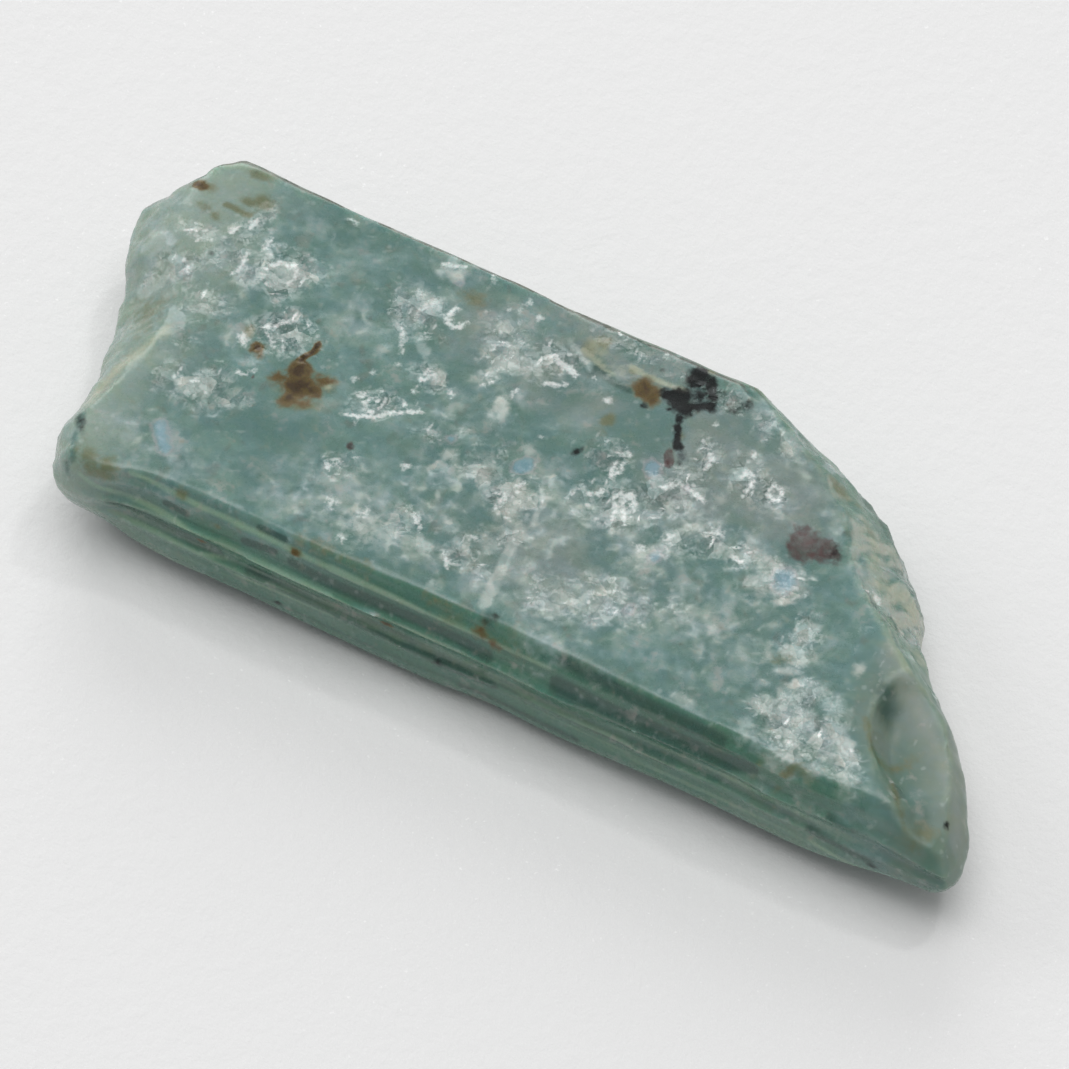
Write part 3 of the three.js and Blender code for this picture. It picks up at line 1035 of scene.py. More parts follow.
        front(((7.5, 1.78), (8.0, 1.68)), 0.12, 0.7),
        # painted shade in the hollow at the tip
        oval(884, 690, 14, 11.5, 30, 0.75),
        oval(887, 703, 15, 20, 15, 0.62),
        # painted shadow under the flake's step, and dark smudges by the black patch
        line(((597, 366), (606, 377), (618, 386), (630, 391)), 0.1, 0.75),
        oval(592, 372, 9, 8, 0, 0.6),
        oval(740, 410, 13, 7, 15, 0.55),
        oval(721, 399, 6, 5, 0, 0.4),
        # the left corner and the front edge
        oval(66, 448, 3, 6, 0, 0.4),
        line(((66, 452), (68, 462), (74, 471)), 0.08, 0.6),
        oval(490, 617, 12.5, 8, -25, 0.7),
    ],
    Layer.GLOW: [
        front(((5.9, 1.5), (6.6, 1.35), (7.4, 1.45)), 0.5, 1.1),
        front(((6.0, 0.7), (7.2, 0.7)), 0.6, 0.8),
        front(((-5.6, 0.8), (-4.6, 0.6)), 0.6, 0.8),
        front(((-2.6, 0.9), (-1.6, 0.8)), 0.4, 0.5),
        front(((8.0, 0.75), (8.9, 0.6)), 0.4, 0.9),
    ],
}


# --- Finishes ---------------------------------------------------------------------------------------------


class Tone(Enum):
    """Colours seen in and on the stone, and colours of painted light and shade, linear RGB."""

    TEAL = (0.125, 0.235, 0.212)
    DEEP = (0.074, 0.165, 0.145)
    SLATE = (0.175, 0.225, 0.208)
    DUSK = (0.110, 0.135, 0.110)
    FOREST = (0.060, 0.170, 0.118)
    # painted shade, for the grooves of the sides
    GROOVE = (0.022, 0.074, 0.056)
    # painted highlight, for the lit tops of the ribs
    RIB_HIGHLIGHT = (0.240, 0.365, 0.260)
    SEA = (0.125, 0.225, 0.175)
    GREY_GREEN = (0.270, 0.345, 0.290)
    FERN = (0.070, 0.150, 0.116)
    STONE = (0.470, 0.490, 0.410)
    MOSS = (0.116, 0.178, 0.140)
    CLAY = (0.330, 0.345, 0.305)
    HAZE = (0.320, 0.400, 0.380)
    MILK = (0.58, 0.66, 0.63)
    ICE = (0.42, 0.55, 0.54)
    SHELL = (0.56, 0.57, 0.51)
    # painted glints and highlights on flakes
    GLINT_WHITE = (0.92, 0.95, 0.93)
    # painted shade, for creases and the shaded sides of flakes
    GAP_SHADE = (0.070, 0.125, 0.112)
    OLIVE = (0.125, 0.130, 0.045)
    CREAM = (0.38, 0.41, 0.30)
    # painted highlight, for sharp edges
    RIDGE = (0.32, 0.38, 0.28)
    BARK = (0.060, 0.058, 0.040)
    GOLD = (0.105, 0.068, 0.014)
    RUST = (0.036, 0.018, 0.004)
    WINE = (0.052, 0.014, 0.011)
    INK = (0.003, 0.003, 0.004)
    BLUE = (0.22, 0.42, 0.58)
    PINK = (0.58, 0.47, 0.52)


@dataclass(frozen=True)
class KyaniteFinish:
    """Translucent teal stone with milky flaky patches, glints, and iron and black stains.

    The pairs are where its looks change: places in mm, or parts of the surface's direction, that give 0
    and 1.
    """

    ior: float = 1.6
    veil: float = 0.45  # share of the light that scatters under the surface
    depth: float = 0.0008  # how far it scatters, m
    bump: float = 1.0
    left_end: tuple = (-5.3, -7.4)
    right_break: tuple = (3.5, 4.5)
    break_facing: tuple = (0.2, 0.6)
    tip: tuple = (8.1, 9.0)
    side_facing: tuple = (0.3, 0.65)
    side_right: tuple = (8.6, 7.2)
    side_left: tuple = (-7.0, -3.8)
    lip_height: tuple = (1.9, 2.1)
    lip_left: tuple = (-1.0, -3.0)
    back_edge: tuple = (3.2, 2.2)  # along the blade
    back_margin: tuple = (2.2, 3.0)  # across it
    front_margin: tuple = (-1.8, -2.2)
    under_facing: tuple = (-0.6, -0.9)
    rear_facing: tuple = (0.3, 0.6)
    sliver: tuple = (0.34, 0.1, 0.3)  # size of a bright sliver, mm
    sliver_turns: tuple = ((28.8, 0.16), (95.0, 0.13))  # degrees from X that slivers lie at, and their share

    def build(self) -> bpy.types.Material:
        """Makes the material.

        Returns:
            The material.
        """
        net = Net("kyanite")
        stone = StoneSurface(net, net.coords(tuple(-DATUM)), self)
        return net.finished(
            {
                "Base Color": stone.coloured(),
                "Roughness": 0.2 + stone.grain * 0.15 + net.painted(Layer.MOSS.value).clamped() * 0.2,
                "Metallic": (stone.ink * 0.6).most(stone.rust.rise(0.3, 0.6) * 0.35),
                "IOR": self.ior,
                "Subsurface Weight": self.veil,
                "Subsurface Scale": self.depth,
                "Subsurface Radius": (0.5, 1.0, 0.9),
                "Normal": stone.relief(),
            }
        )


class StoneSurface:
    """The stone's colour, laid on from the body outwards, and its fine relief."""

    def __init__(self, net: Net, at: Any, finish: KyaniteFinish) -> None:
        """Sets out where each place is, how it faces, noise of four sizes, and where the strong stains lie.

        Args:
            net: The network.
            at: Coordinates from the blade's own datum, mm.
            finish: The finish that the surface belongs to.
        """
        self.net = net
        self.at = at
        self.finish = finish
        self.x, self.y, self.z = net.parts(at)
        facing = net.node("ShaderNodeNewGeometry", {}, {}).outputs["Normal"]
        self.to_right, self.to_rear, self.upward = net.parts(facing)
        self.drift = net.noise(at, 1.9, 3.0, 0.55)
        self.cloud = net.noise(at, 0.5, 2.0, 0.5)
        self.curd = net.noise(at, 0.22, 1.5, 0.5, 0.3)
        self.grain = net.noise(net.strayed(at, 0.3, 0.05), 0.14, 3.0, 0.6)
        self.colour: Any = Tone.DEEP.value
        self.flaky = self._flaky()
        ink = net.painted(Layer.INK.value)
        ink_fray = (self.curd.swing(0.5) + self.grain.swing(1.1)) * ink.rise(0.0, 0.3)
        self.ink = (ink + ink_fray).rise(0.12, 0.75)
        self.rust = net.painted(Layer.RUST.value) + self.curd.swing(0.5) + self.grain.swing(0.6)

    def coloured(self) -> Any:
        """Lays on all the colours, in order.

        Returns:
            The colour that shows.
        """
        for lay in (self._body, self._side, self._edges, self._haze, self._hue, self._flakes, self._stains_and_glints):
            lay()
        return self.colour

    def _lay(self, share: Value, tone: Tone) -> None:
        """Mixes a share of one tone into the colour."""
        self.colour = self.net.tinted(share, self.colour, tone.value)

    def _shown(self, layer: Layer, fray: Value, low: float, high: float) -> Value:
        """Where a layer's marks show.

        Args:
            layer: The layer.
            fray: Noise around 0 that frays their edges.
            low: The painted number that gives 0.
            high: The painted number that gives 1.

        Returns:
            The share that shows.
        """
        return (self.net.painted(layer.value) + fray).rise(low, high)

    def _hidden(self) -> Value:
        """The underside and the back, where no mark is placed."""
        under = self.upward.rise(*self.finish.under_facing)
        return under.most(self.to_rear.rise(*self.finish.rear_facing))

    def _body(self) -> None:
        """The stone's own colour from end to end, before anything lies on it."""
        cloud, drift, finish = self.cloud, self.drift, self.finish
        shade = (drift * 0.35 + cloud * 0.35 + self.curd * 0.3).rise(0.4, 0.6)
        self._lay(shade * 0.8 + 0.2, Tone.TEAL)
        dusk = self.net.noise(self.at, 0.33, 2.0, 0.5, 0.4).rise(0.58, 0.72)
        self._lay(dusk * 0.45, Tone.DUSK)
        self._lay(self._shown(Layer.ASH, cloud.swing(0.6), 0.1, 0.7) * 0.8, Tone.SLATE)
        self._lay((self.x + drift.swing(2.5)).rise(*finish.left_end) * 0.8, Tone.GREY_GREEN)
        # clear, dark stone, and painted shadow under the flake's step and in the tip's hollow
        self._lay(self._shown(Layer.POOL, cloud.swing(0.7), 0.15, 0.8) * 0.8, Tone.DEEP)
        broken = self.to_right.rise(*finish.break_facing) * self.x.rise(*finish.right_break)
        self._lay(broken.clamped() * 0.85, Tone.STONE)
        moss = self._shown(Layer.MOSS, cloud.swing(0.6), 0.1, 0.5)
        tip = (self.x + cloud.swing(1.0)).rise(*finish.tip).most(moss)
        lush = (cloud * 0.6 + drift * 0.4).rise(0.4, 0.6)
        growth = self.net.tinted(lush, Tone.MOSS.value, Tone.FERN.value)
        self.colour = self.net.tinted(tip * 0.85, self.colour, growth)
        # pale, dull stone, and a painted highlight in the tip's hollow
        self._lay(self._shown(Layer.CLAY, cloud.swing(0.9), 0.0, 0.9) * 0.7, Tone.CLAY)

    def _side(self) -> None:
        """The ribbed front and back sides: the cleavage sheets' edges, with painted highlights on ribs and
        painted shade in grooves.
        """
        net, finish = self.net, self.finish
        fibre = net.noise(net.mapped(net.strayed(self.at, 1.2, 0.06), (0.1, 0.25, 4.0)), 1.0, 3.0, 0.55)
        lip = self.z.rise(*finish.lip_height) * self.x.rise(*finish.lip_left) * 0.85
        along = self.x.rise(*finish.side_right) * self.x.rise(*finish.side_left)
        side = abs(self.to_rear).rise(*finish.side_facing) * along * (1.0 - lip)
        self._lay(side * 0.95, Tone.FOREST)
        self._lay(self._shown(Layer.GLOW, fibre.swing(1.0), 0.1, 0.7) * 0.75, Tone.SEA)
        # painted shade in the grooves, from the marks and from the fibres
        groove = self._shown(Layer.GROOVE, fibre.swing(0.8), 0.15, 0.7)
        self._lay((side * fibre.rise(0.47, 0.32) * 0.6).most(groove * 0.85), Tone.GROOVE)
        # painted highlights on the tops of the ribs, from the marks and from the fibres
        ridge = self._shown(Layer.RIDGE, fibre.swing(0.7), 0.25, 0.9)
        self._lay((side * fibre.rise(0.53, 0.68) * 0.55).most(ridge * 0.75), Tone.RIB_HIGHLIGHT)

    def _edges(self) -> None:
        """Painted highlights on sharp edges, a brown back edge, and painted shade in creases, from the curve
        painted on the skin.
        """
        finish = self.finish
        curve = self.net.painted(CURVE) + self.grain.swing(0.4)
        back = self.x.rise(*finish.back_edge)
        margins = self.y.rise(*finish.front_margin) * 0.5 + self.y.rise(*finish.back_margin) * back * 0.45
        # painted highlight on sharp, outward edges
        self._lay(curve.rise(0.1, 0.7) * (0.7 - margins), Tone.RIDGE)
        self._lay(curve.rise(0.0, 0.35) * self.to_rear.rise(0.1, 0.3) * back * 0.8, Tone.BARK)
        # painted shade in creases and hollows
        self._lay(curve.rise(-0.1, -0.6) * (0.75 - self.to_right.rise(0.15, 0.4) * 0.45), Tone.GAP_SHADE)

    def _haze(self) -> None:
        """Soft white clouds and lumps inside the stone."""
        cloud, curd = self.cloud, self.curd
        milk = self.net.painted(Layer.MILK.value).most(self._hidden() * cloud.rise(0.48, 0.62) * 0.6)
        calm = self.net.painted(Layer.MOSS.value).rise(0.5, 0.1)
        lively = (milk + 0.3).least(1.0) * calm
        cloudy = milk * 0.85 * calm + (cloud.swing(1.4) + curd.swing(1.4)) * lively
        self._lay(cloudy.rise(0.1, 0.9) * 0.75, Tone.HAZE)
        lumps = (milk * 0.5 * calm + curd.swing(2.6) * lively).rise(0.4, 0.9)
        self._lay(lumps * 0.4, Tone.MILK)

    def _hue(self) -> None:
        """Drifts the hue a little between warm and cold."""
        hue = self.net.noise(self.at, 0.4, 2.0, 0.6, 0.5).rise(0.3, 0.7)
        drifted = self.net.tinted(hue, (1.02, 1.0, 0.93), (0.985, 1.0, 1.06))
        self.colour = self.net.vector("MULTIPLY", self.colour, drifted)

    def _flaky(self) -> Value:
        """Where the surface is broken into flakes: 0 for smooth and 1 for flaky.

        Returns:
            The share.
        """
        marked = self.net.painted(Layer.FLAKE.value).most(self._hidden() * self.drift.rise(0.5, 0.62) * 0.7)
        noise = self.cloud.swing(1.6) + self.curd.swing(0.8)
        return (marked + noise * (marked + 0.3).least(1.0)).rise(0.15, 0.85)

    def _slivers(self, at: Any, turn: float, share: float) -> Value:
        """Short bright streaks that all lie one way.

        Args:
            at: Coordinates, mm.
            turn: Which way they lie, degrees from X.
            share: How many of them show.

        Returns:
            The streaks.
        """
        values = {"Vector": at, "Rotation": (0.0, 0.0, math.radians(turn)), "Scale": self.finish.sliver}
        stretched = self.net.node("ShaderNodeMapping", {"vector_type": "TEXTURE"}, values)
        cells = Cells(self.net, stretched.outputs["Vector"], 1.0)
        return cells.tones()[1].rise(1.0 - share, 1.08 - share) * cells.distance.rise(0.42, 0.12)

    def _flakes(self) -> None:
        """White cleavage plates with painted light and shade on their two sides, and painted glints: slivers,
        sparks, plate edges.
        """
        net, curd, flaky = self.net, self.curd, self.flaky
        torn = net.strayed(self.at, 0.25, 0.05)
        plates = Cells(net, torn, 0.36)
        tones = plates.tones()
        bright = tones[1] + plates.lean() * 5.0
        # painted shade on the side of each plate that leans away
        self._lay(bright.rise(0.35, -0.1) * flaky * 0.5, Tone.GAP_SHADE)
        plate = self._shown(Layer.PLATE, curd.swing(1.0) + self.grain.swing(0.7), 0.15, 0.9)
        # painted light on the side of each plate that leans towards it
        lit = bright.rise(0.0, 1.2)
        white = (lit * lit * 0.7 * flaky).most(plate * (0.2 + curd * 0.4 + lit * 0.35)).clamped()
        self.colour = net.tinted(white, self.colour, net.tinted(tones[0], Tone.ICE.value, Tone.SHELL.value))
        crumb = net.noise(torn, 0.075, 2.0, 0.6)
        rim = self._shown(Layer.RIM, crumb.swing(1.6) + curd.swing(0.8), 0.35, 1.15)
        first, second = (self._slivers(torn, turn, share) for turn, share in self.finish.sliver_turns)
        sliver = first.most(second) * (flaky * 0.75 + 0.1) * crumb.rise(0.35, 0.55)
        dots = Cells(net, torn, 0.17)
        spark = dots.tones()[1].rise(0.84, 0.9) * dots.distance.rise(0.36, 0.1) * (flaky * 0.5 + 0.1)
        # painted glints: slivers, sparks and bright plate edges
        self._lay(sliver.most(spark).most(rim * 0.62).clamped(), Tone.GLINT_WHITE)

    def _stains_and_glints(self) -> None:
        """Olive, cream, rust, red-brown and black stains, a painted highlight along the flake's edge, and
        faint rainbow glints.
        """
        rust = self.rust
        fray = self.cloud.swing(0.8) + self.grain.swing(0.8)
        sheen = self.net.painted(Layer.SHEEN.value) + fray * 1.2
        self._lay(sheen.rise(0.1, 0.4) * sheen.rise(0.7, 0.4) * 0.2, Tone.PINK)
        self._lay(sheen.rise(0.3, 0.9) * 0.35, Tone.BLUE)
        self._lay(self._shown(Layer.OLIVE, fray, 0.15, 0.8) * 0.75, Tone.OLIVE)
        # cream stains, and a painted highlight along the flake's edge
        self._lay(self._shown(Layer.CREAM, fray, 0.1, 0.9) * 0.7, Tone.CREAM)
        self._lay(rust.rise(0.05, 0.3) * 0.35, Tone.OLIVE)
        self._lay(rust.rise(0.2, 0.5) * 0.95, Tone.GOLD)
        self._lay((rust + self.grain.swing(0.8)).rise(0.5, 1.0) * 0.85, Tone.RUST)
        wine = self._shown(Layer.WINE, fray * 0.7, 0.2, 0.5)
        self._lay(wine * (0.75 + self.grain.swing(1.2)).clamped(), Tone.WINE)
        self._lay(self.ink * 0.96, Tone.INK)

    def relief(self) -> bpy.types.NodeSocket:
        """Bends the surface's direction: soft swells, grain, and a mosaic of flakes, each tilted its own way.

        Returns:
            The bent direction.
        """
        torn = self.net.strayed(self.at, 0.3, 0.08)
        height = self.cloud * 0.015 + self.grain * (0.002 + self.flaky * 0.012)
        mosaic = Cells(self.net, torn, 0.32).lean() * 0.5 + Cells(self.net, torn, 0.16).lean() * 0.6
        values = {"Height": height + mosaic * self.flaky, "Strength": self.finish.bump, "Distance": MM}
        return self.net.node("ShaderNodeBump", {}, values).outputs["Normal"]


@dataclass(frozen=True)
class TableFinish:
    """Matt white card with a fine, faintly glittering grain."""

    colour: tuple = (0.775, 0.775, 0.775)
    speck: tuple = (0.88, 0.88, 0.88)
    roughness: float = 0.7
    grain_size: float = 0.35  # mm, as the next three
    grain_depth: float = 0.1
    speck_size: float = 0.1
    patch_size: float = 9.0
    bump: float = 0.3

    def build(self) -> bpy.types.Material:
        """Makes the material.

        Returns:
            The material.
        """
        net = Net("table_card")
        at = net.coords()
        grain = net.noise(at, self.grain_size, 4.0, 0.7)
        patches = net.noise(at, self.patch_size, 2.0, 0.5).rise(0.45, 0.6)
        specks = net.noise(at, self.speck_size, 2.0, 0.6).rise(0.64, 0.76) * patches
        values = {"Height": grain, "Strength": self.bump, "Distance": self.grain_depth * MM}
        bump = net.node("ShaderNodeBump", {}, values)
        return net.finished(
            {
                "Base Color": net.tinted(specks, self.colour, self.speck),
                "Roughness": self.roughness,
                "Normal": bump.outputs["Normal"],
            }
        )


# --- The blade --------------------------------------------------------------------------------------------


class Push(Enum):
    """Which way a relief moves the skin."""

    UP = "Z"
    BACK = "Y"
    OUT = "NORMAL"


@dataclass(frozen=True)
class Relief:
    """One low relief of cloudy noise pushed into the skin, with its sizes in mm."""

    name: str
    size: float
    height: float
    push: Push
    stretch: tuple = (1.0, 1.0, 1.0)
    middle: float = 0.5  # the noise that moves nothing
    detail: int = 2  # octaves of finer clouds
    stops: tuple = ()  # pairs of noise and height that turn the clouds into steps


@dataclass(frozen=True)
class Ease:
    """A place where the skin is rounded: its middle and reach in mm, and its rounds of smoothing."""

    name: str
    middle: tuple
    reach: tuple
    rounds: int


STEPS = ((0.0, 0.0), (0.36, 0.0), (0.41, 0.33), (0.49, 0.33), (0.53, 0.66), (0.60, 0.66), (0.65, 1.0))


@dataclass
class KyaniteBlade:
    """The stone's finished skin, modelled over the CAD solid, in mm until it is done.

    The pairs are where a relief fades in: places in mm, or parts of the surface's direction, that give 0
    and 1.
    """

    voxel: float = 0.062
    weld: float = 0.0005  # points nearer than this are one
    smooth_angle: float = 38.0
    levels: int = 20  # a relief's share at a point is one of this many
    ease_fade: tuple = (1.0, 0.6)  # shares of an ease's reach where rounding begins and is full
    ease_factor: float = 0.5  # how far one round of smoothing moves a point to the mean of its neighbours
    quiet: float = 0.15  # share of the cleavage steps that shows where there are no flakes
    spread_rounds: int = 3  # rounds of averaging for the surroundings that the curve is measured from
    calm_rounds: int = 2  # rounds of averaging of the curve itself
    sharp: float = 0.45  # how far a sharp edge stands out of its surroundings, in voxels
    curve_limit: float = 1.5
    above_foot: tuple = (0.1, 0.5)
    above_ledges: tuple = (0.9, 1.3)
    level_facing: tuple = (0.5, 0.85)
    end_facing: tuple = (0.25, 0.6)
    side_facing: tuple = (0.3, 0.7)
    break_facing: tuple = (0.15, 0.4)
    right_break: tuple = (2.5, 3.5)
    short_of_tip: tuple = (8.4, 7.0)
    short_of_hollow: tuple = (8.0, 6.5)
    cleavage: Relief = Relief("cleavage_steps", 0.75, 0.05, Push.UP, middle=0.6, stops=STEPS)
    flakes: Relief = Relief("small_flakes", 0.26, 0.02, Push.UP, (1.6, 1.0, 1.0))
    lumps: Relief = Relief("broken_lumps", 0.5, 0.16, Push.OUT)
    chips: Relief = Relief("right_chips", 0.55, 0.09, Push.OUT)
    front_grain: Relief = Relief("front_grain", 0.3, 0.02, Push.BACK, (9.0, 1.0, 1.0))
    back_grain: Relief = Relief("back_grain", 0.3, 0.06, Push.BACK, (7.0, 1.0, 1.0))
    eases: tuple = (
        Ease("ledges", (0.6, -3.0, 1.2), (12.0, 1.3, 2.5), 10),
        Ease("tip", (8.9, -1.6, 1.6), (2.4, 2.6, 2.0), 16),
        Ease("left_lobe", (-7.0, -2.4, 1.4), (1.3, 1.4, 2.0), 30),
        Ease("flake", (0.6, 3.1, 2.4), (2.4, 0.8, 0.8), 6),
        Ease("back_corner", (-8.0, 2.2, 1.6), (1.6, 1.8, 2.0), 14),
    )
    finish: KyaniteFinish = field(default_factory=KyaniteFinish)

    def build(self) -> bpy.types.Object:
        """Makes the skin.

        Returns:
            The finished piece.
        """
        skin = self._copy_of_solid()
        self._remesh(skin)
        self._soften(skin)
        self._keep(skin, CURVE, self._curve(skin, *self._shape(skin)))
        self._cover_in_relief(skin)
        self._paint(skin)
        self._scale(skin, MM)
        bpy.ops.object.shade_smooth_by_angle(angle=math.radians(self.smooth_angle))
        skin.data.materials.clear()
        skin.data.materials.append(self.finish.build())
        log.info("%s: %d faces", skin.name, len(skin.data.polygons))
        return skin

    def _copy_of_solid(self) -> bpy.types.Object:
        """Copies the CAD solid, in mm, with its loose triangles joined.

        Returns:
            The copy.
        """
        solid = bpy.data.objects[NODE]
        skin = bpy.data.objects.new("kyanite_skin", solid.data.copy())
        bpy.context.scene.collection.objects.link(skin)
        bpy.ops.object.select_all(action="DESELECT")
        skin.select_set(True)
        bpy.context.view_layer.objects.active = skin
        self._scale(skin, PER_M)
        bpy.ops.object.mode_set(mode="EDIT")
        bpy.ops.mesh.select_all(action="SELECT")
        bpy.ops.mesh.remove_doubles(threshold=self.weld)
        bpy.ops.object.mode_set(mode="OBJECT")
        return skin

    @staticmethod
    def _scale(skin: bpy.types.Object, factor: float) -> None:
        """Scales a piece about the origin and applies it."""
        skin.scale = (factor,) * 3
        bpy.ops.object.transform_apply(location=False, rotation=False, scale=True)

    def _remesh(self, skin: bpy.types.Object) -> None:
        """Gives the skin one even, fine mesh.

        Args:
            skin: The piece.
        """
        even = skin.modifiers.new("even_mesh", "REMESH")
        even.mode = "VOXEL"
        even.voxel_size = self.voxel
        bpy.ops.object.modifier_apply(modifier=even.name)

    @staticmethod
    def _shape(skin: bpy.types.Object) -> tuple[np.ndarray, np.ndarray]:
        """Reads the skin's shape.

        Args:
            skin: The piece.

        Returns:
            Its points in the blade's own datum, mm, and the surface's direction at each.
        """
        count = len(skin.data.vertices)
        points = np.empty(count * 3, np.float32)
        normals = np.empty(count * 3, np.float32)
        skin.data.vertices.foreach_get("co", points)
        skin.data.vertex_normals.foreach_get("vector", normals)
        return points.reshape(-1, 3) - np.array(DATUM), normals.reshape(-1, 3)

    @staticmethod
    def _ramp(values: np.ndarray, low: float, high: float) -> np.ndarray:
        """A straight slope from 0 at low to 1 at high, which may also run downwards."""
        return np.clip((values - low) / (high - low), 0.0, 1.0)

    def _soften(self, skin: bpy.types.Object) -> None:
        """Rounds each eased place in its own measure, fading out towards its reach.

        Args:
            skin: The piece.
        """
        points = self._shape(skin)[0]
        for ease in self.eases:
            away = np.linalg.norm((points - np.array(ease.middle)) / np.array(ease.reach), axis=1)
            group = self._group(skin, ease.name, self._ramp(away, *self.ease_fade))
            rounding = skin.modifiers.new(ease.name, "SMOOTH")
            rounding.factor = self.ease_factor
            rounding.iterations = ease.rounds
            rounding.vertex_group = group
            bpy.ops.object.modifier_apply(modifier=rounding.name)
            skin.vertex_groups.clear()

    def _group(self, skin: bpy.types.Object, name: str, weights: np.ndarray) -> str:
        """Makes a vertex group.

        Args:
            skin: The piece.
            name: The group's name.
            weights: The weight of each point, from 0 to 1.

        Returns:
            The group's name.
        """
        group = skin.vertex_groups.new(name=name)
        shares = np.rint(weights * self.levels).astype(int)
        for level in range(1, self.levels + 1):
            group.add(np.flatnonzero(shares == level).tolist(), level / self.levels, "REPLACE")
        return group.name

    def _cover_in_relief(self, skin: bpy.types.Object) -> None:
        """Pushes the low relief into the skin: steps on top, lumps on the ends, grain along the sides.

        Args:
            skin: The piece.
        """
        points, normals = self._shape(skin)
        along, height = points[:, 0], points[:, 2]
        to_right, to_rear, upward = normals.T
        above = self._ramp(height, *self.above_foot)
        top = self._ramp(upward, *self.level_facing) * self._ramp(height, *self.above_ledges)
        ends = self._ramp(np.abs(to_right), *self.end_facing) * above * self._ramp(along, *self.short_of_tip)
        chipped = self._ramp(along, *self.right_break) * self._ramp(to_right, *self.break_facing) * above
        fore_side = self._ramp(-to_rear, *self.side_facing) * self._ramp(along, *self.short_of_hollow) * above
        back_side = self._ramp(to_rear, *self.side_facing) * above
        broken = np.clip(self._painted(Layer.FLAKE, points, normals), 0.0, 1.0)
        self._press(skin, top * (self.quiet + (1.0 - self.quiet) * broken), self.cleavage)
        self._press(skin, top * broken, self.flakes)
        self._press(skin, ends, self.lumps)
        self._press(skin, chipped, self.chips)
        self._press(skin, fore_side, self.front_grain)
        self._press(skin, back_side, self.back_grain)

    def _press(self, skin: bpy.types.Object, weights: np.ndarray, relief: Relief) -> None:
        """Applies one relief.

        Args:
            skin: The piece.
            weights: Its share at each point.
            relief: The relief.
        """
        pattern = bpy.data.textures.new(relief.name, "CLOUDS")
        pattern.noise_scale = relief.size
        pattern.noise_depth = relief.detail
        if relief.stops:
            self._step(pattern, relief.stops)
        holder = bpy.data.objects.new(relief.name, None)
        holder.scale = relief.stretch
        bpy.context.scene.collection.objects.link(holder)
        bpy.context.view_layer.update()
        press = skin.modifiers.new(relief.name, "DISPLACE")
        press.texture = pattern
        press.texture_coords = "OBJECT"
        press.texture_coords_object = holder
        press.vertex_group = self._group(skin, relief.name, weights)
        press.direction = relief.push.value
        press.strength = relief.height
        press.mid_level = relief.middle
        bpy.ops.object.modifier_apply(modifier=press.name)
        bpy.data.objects.remove(holder)
        bpy.data.textures.remove(pattern)
        skin.vertex_groups.clear()

    @staticmethod
    def _step(pattern: bpy.types.Texture, stops: tuple) -> None:
        """Turns a pattern's soft clouds into steps.

        Args:
            pattern: The pattern.
            stops: Pairs of noise and height.
        """
        pattern.use_color_ramp = True
        elements = pattern.color_ramp.elements
        while len(elements) < len(stops):
            elements.new(1.0)
        for element, (place, shade) in zip(elements, stops):
            element.position = place
            element.color = (shade, shade, shade, 1.0)

    def _paint(self, skin: bpy.types.Object) -> None:
        """Paints each layer's marks as numbers on the skin's points.

        Args:
            skin: The piece.
        """
        points, normals = self._shape(skin)
        for layer in MARKS:
            self._keep(skin, layer.value, self._painted(layer, points, normals))

    @staticmethod
    def _painted(layer: Layer, points: np.ndarray, normals: np.ndarray) -> np.ndarray:
        """How strong one layer's marks are at each point.

        Args:
            layer: The layer.
            points: Places, mm.
            normals: The surface's direction at each.

        Returns:
            The strength of the strongest mark there.
        """
        total = np.zeros(len(points))
        for mark in MARKS[layer]:
            total = np.maximum(total, mark.reach(points, normals))
        return total

    @staticmethod
    def _keep(skin: bpy.types.Object, name: str, numbers: np.ndarray) -> None:
        """Stores one number for each point of a piece."""
        layer = skin.data.attributes.new(name, "FLOAT", "POINT")
        layer.data.foreach_set("value", numbers.astype(np.float32))

    def _curve(self, skin: bpy.types.Object, points: np.ndarray, normals: np.ndarray) -> np.ndarray:
        """How the skin curves at each point.

        Args:
            skin: The piece.
            points: Its points, mm.
            normals: The surface's direction at each.

        Returns:
            About 1 on a sharp edge, 0 where it is flat and -1 in a sharp groove.
        """
        edges = np.empty(len(skin.data.edges) * 2, np.int32)
        skin.data.edges.foreach_get("vertices", edges)
        first, second = edges.reshape(-1, 2).T
        count = len(points)
        shared = np.bincount(np.concatenate([first, second]), minlength=count)

        def around(values: np.ndarray) -> np.ndarray:
            """The mean over each point's neighbours."""
            total = np.bincount(first, values[second], count) + np.bincount(second, values[first], count)
            return total / shared

        spread = points.copy()
        for _ in range(self.spread_rounds):
            spread = np.column_stack([around(spread[:, axis]) for axis in range(3)])
        height = np.einsum("ij,ij->i", points - spread, normals)
        for _ in range(self.calm_rounds):
            height = 0.5 * height + 0.5 * around(height)
        return np.clip(height / (self.sharp * self.voxel), -self.curve_limit, self.curve_limit)


# --- The studio -------------------------------------------------------------------------------------------


@dataclass(frozen=True)
class SoftBox:
    """A square lamp aimed at the stone: where it hangs and its side, in metres, and its power in watts."""

    name: str
    place: tuple
    side: float
    power: float


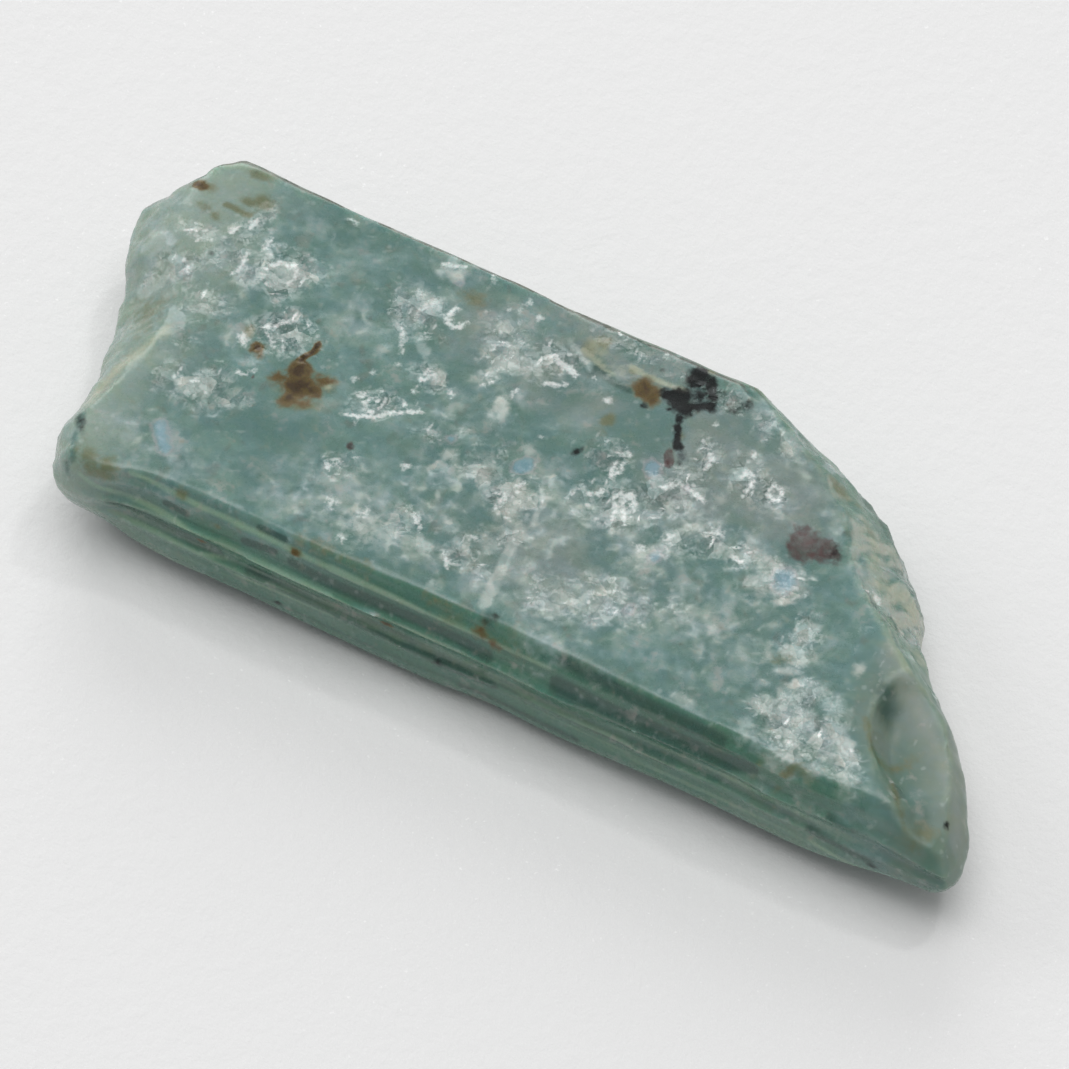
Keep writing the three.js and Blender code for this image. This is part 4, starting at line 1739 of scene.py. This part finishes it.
@dataclass
class Studio:
    """Table, lights and camera. Lengths are in metres."""

    table_side: float = 3.0
    drop: float = 0.00001  # how far the table lies below the stone
    air: float = 0.34  # strength of the even light all round
    sensor: float = 36.0  # width of the camera's sensor, mm
    nearest: float = 0.01  # what the camera sees begins here
    boxes: tuple = (
        SoftBox("roof_box", (0.02, -0.01, 0.5), 0.4, 1.25),
        SoftBox("rear_box", (-0.32, 0.48, 0.29), 0.4, 1.4),
        SoftBox("left_box", (-0.5, 0.0, 0.3), 0.3, 0.6),
        SoftBox("spark_lamp", (0.1, 0.22, 0.5), 0.05, 0.25),
    )

    def build(self) -> None:
        """Makes the table, the lights and the camera."""
        self._table()
        self._lights()
        self._camera()
        log.info("studio ready")

    def _table(self) -> None:
        """A pale table that the stone rests on."""
        bpy.ops.object.select_all(action="DESELECT")
        bpy.ops.mesh.primitive_plane_add(size=self.table_side, location=(0.0, 0.0, -self.drop))
        table = bpy.context.active_object
        table.name = "table"
        table.data.materials.append(TableFinish().build())

    def _lights(self) -> None:
        """Even light all round, soft boxes overhead, behind and at the left, and one small bright lamp."""
        world = bpy.data.worlds.new("studio_air")
        world.use_nodes = True
        colour, strength = world.node_tree.nodes["Background"].inputs[:2]
        colour.default_value = (1.0, 1.0, 1.0, 1.0)
        strength.default_value = self.air
        bpy.context.scene.world = world
        for box in self.boxes:
            self._hang(box)

    @staticmethod
    def _hang(box: SoftBox) -> None:
        """Adds one soft box.

        Args:
            box: The soft box.
        """
        lamp = bpy.data.lights.new(box.name, "AREA")
        lamp.shape = "SQUARE"
        lamp.size = box.side
        lamp.energy = box.power
        hung = bpy.data.objects.new(box.name, lamp)
        hung.location = box.place
        hung.rotation_euler = (-Vector(box.place)).to_track_quat("-Z", "Y").to_euler()
        bpy.context.scene.collection.objects.link(hung)

    def _camera(self) -> None:
        """The camera, looking down on the stepped side."""
        right, up, back = PICTURE.axes()
        middle = PICTURE.side / 2.0
        to_right = (middle - PICTURE.aim_pixel[0]) / PICTURE.per_mm
        to_top = (PICTURE.aim_pixel[1] - middle) / PICTURE.per_mm
        aim = DATUM + Vector(PICTURE.aim) + right * to_right + up * to_top
        data = bpy.data.cameras.new("camera")
        data.sensor_width = self.sensor
        data.lens = self.sensor * PICTURE.distance * PICTURE.per_mm / PICTURE.side
        data.clip_start = self.nearest
        camera = bpy.data.objects.new("camera", data)
        camera.location = (aim + back * PICTURE.distance) * MM
        camera.rotation_euler = (-back).to_track_quat("-Z", "Y").to_euler()
        bpy.context.scene.collection.objects.link(camera)
        bpy.context.scene.camera = camera
        bpy.context.scene.view_settings.view_transform = "Standard"


def main() -> None:
    """Builds the stone and its studio."""
    logging.basicConfig(level=logging.INFO, format="%(name)s: %(message)s")
    Studio().build()
    skin = KyaniteBlade().build()
    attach(skin, "root")
    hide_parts(NODE)


if __name__ == "__main__":
    main()
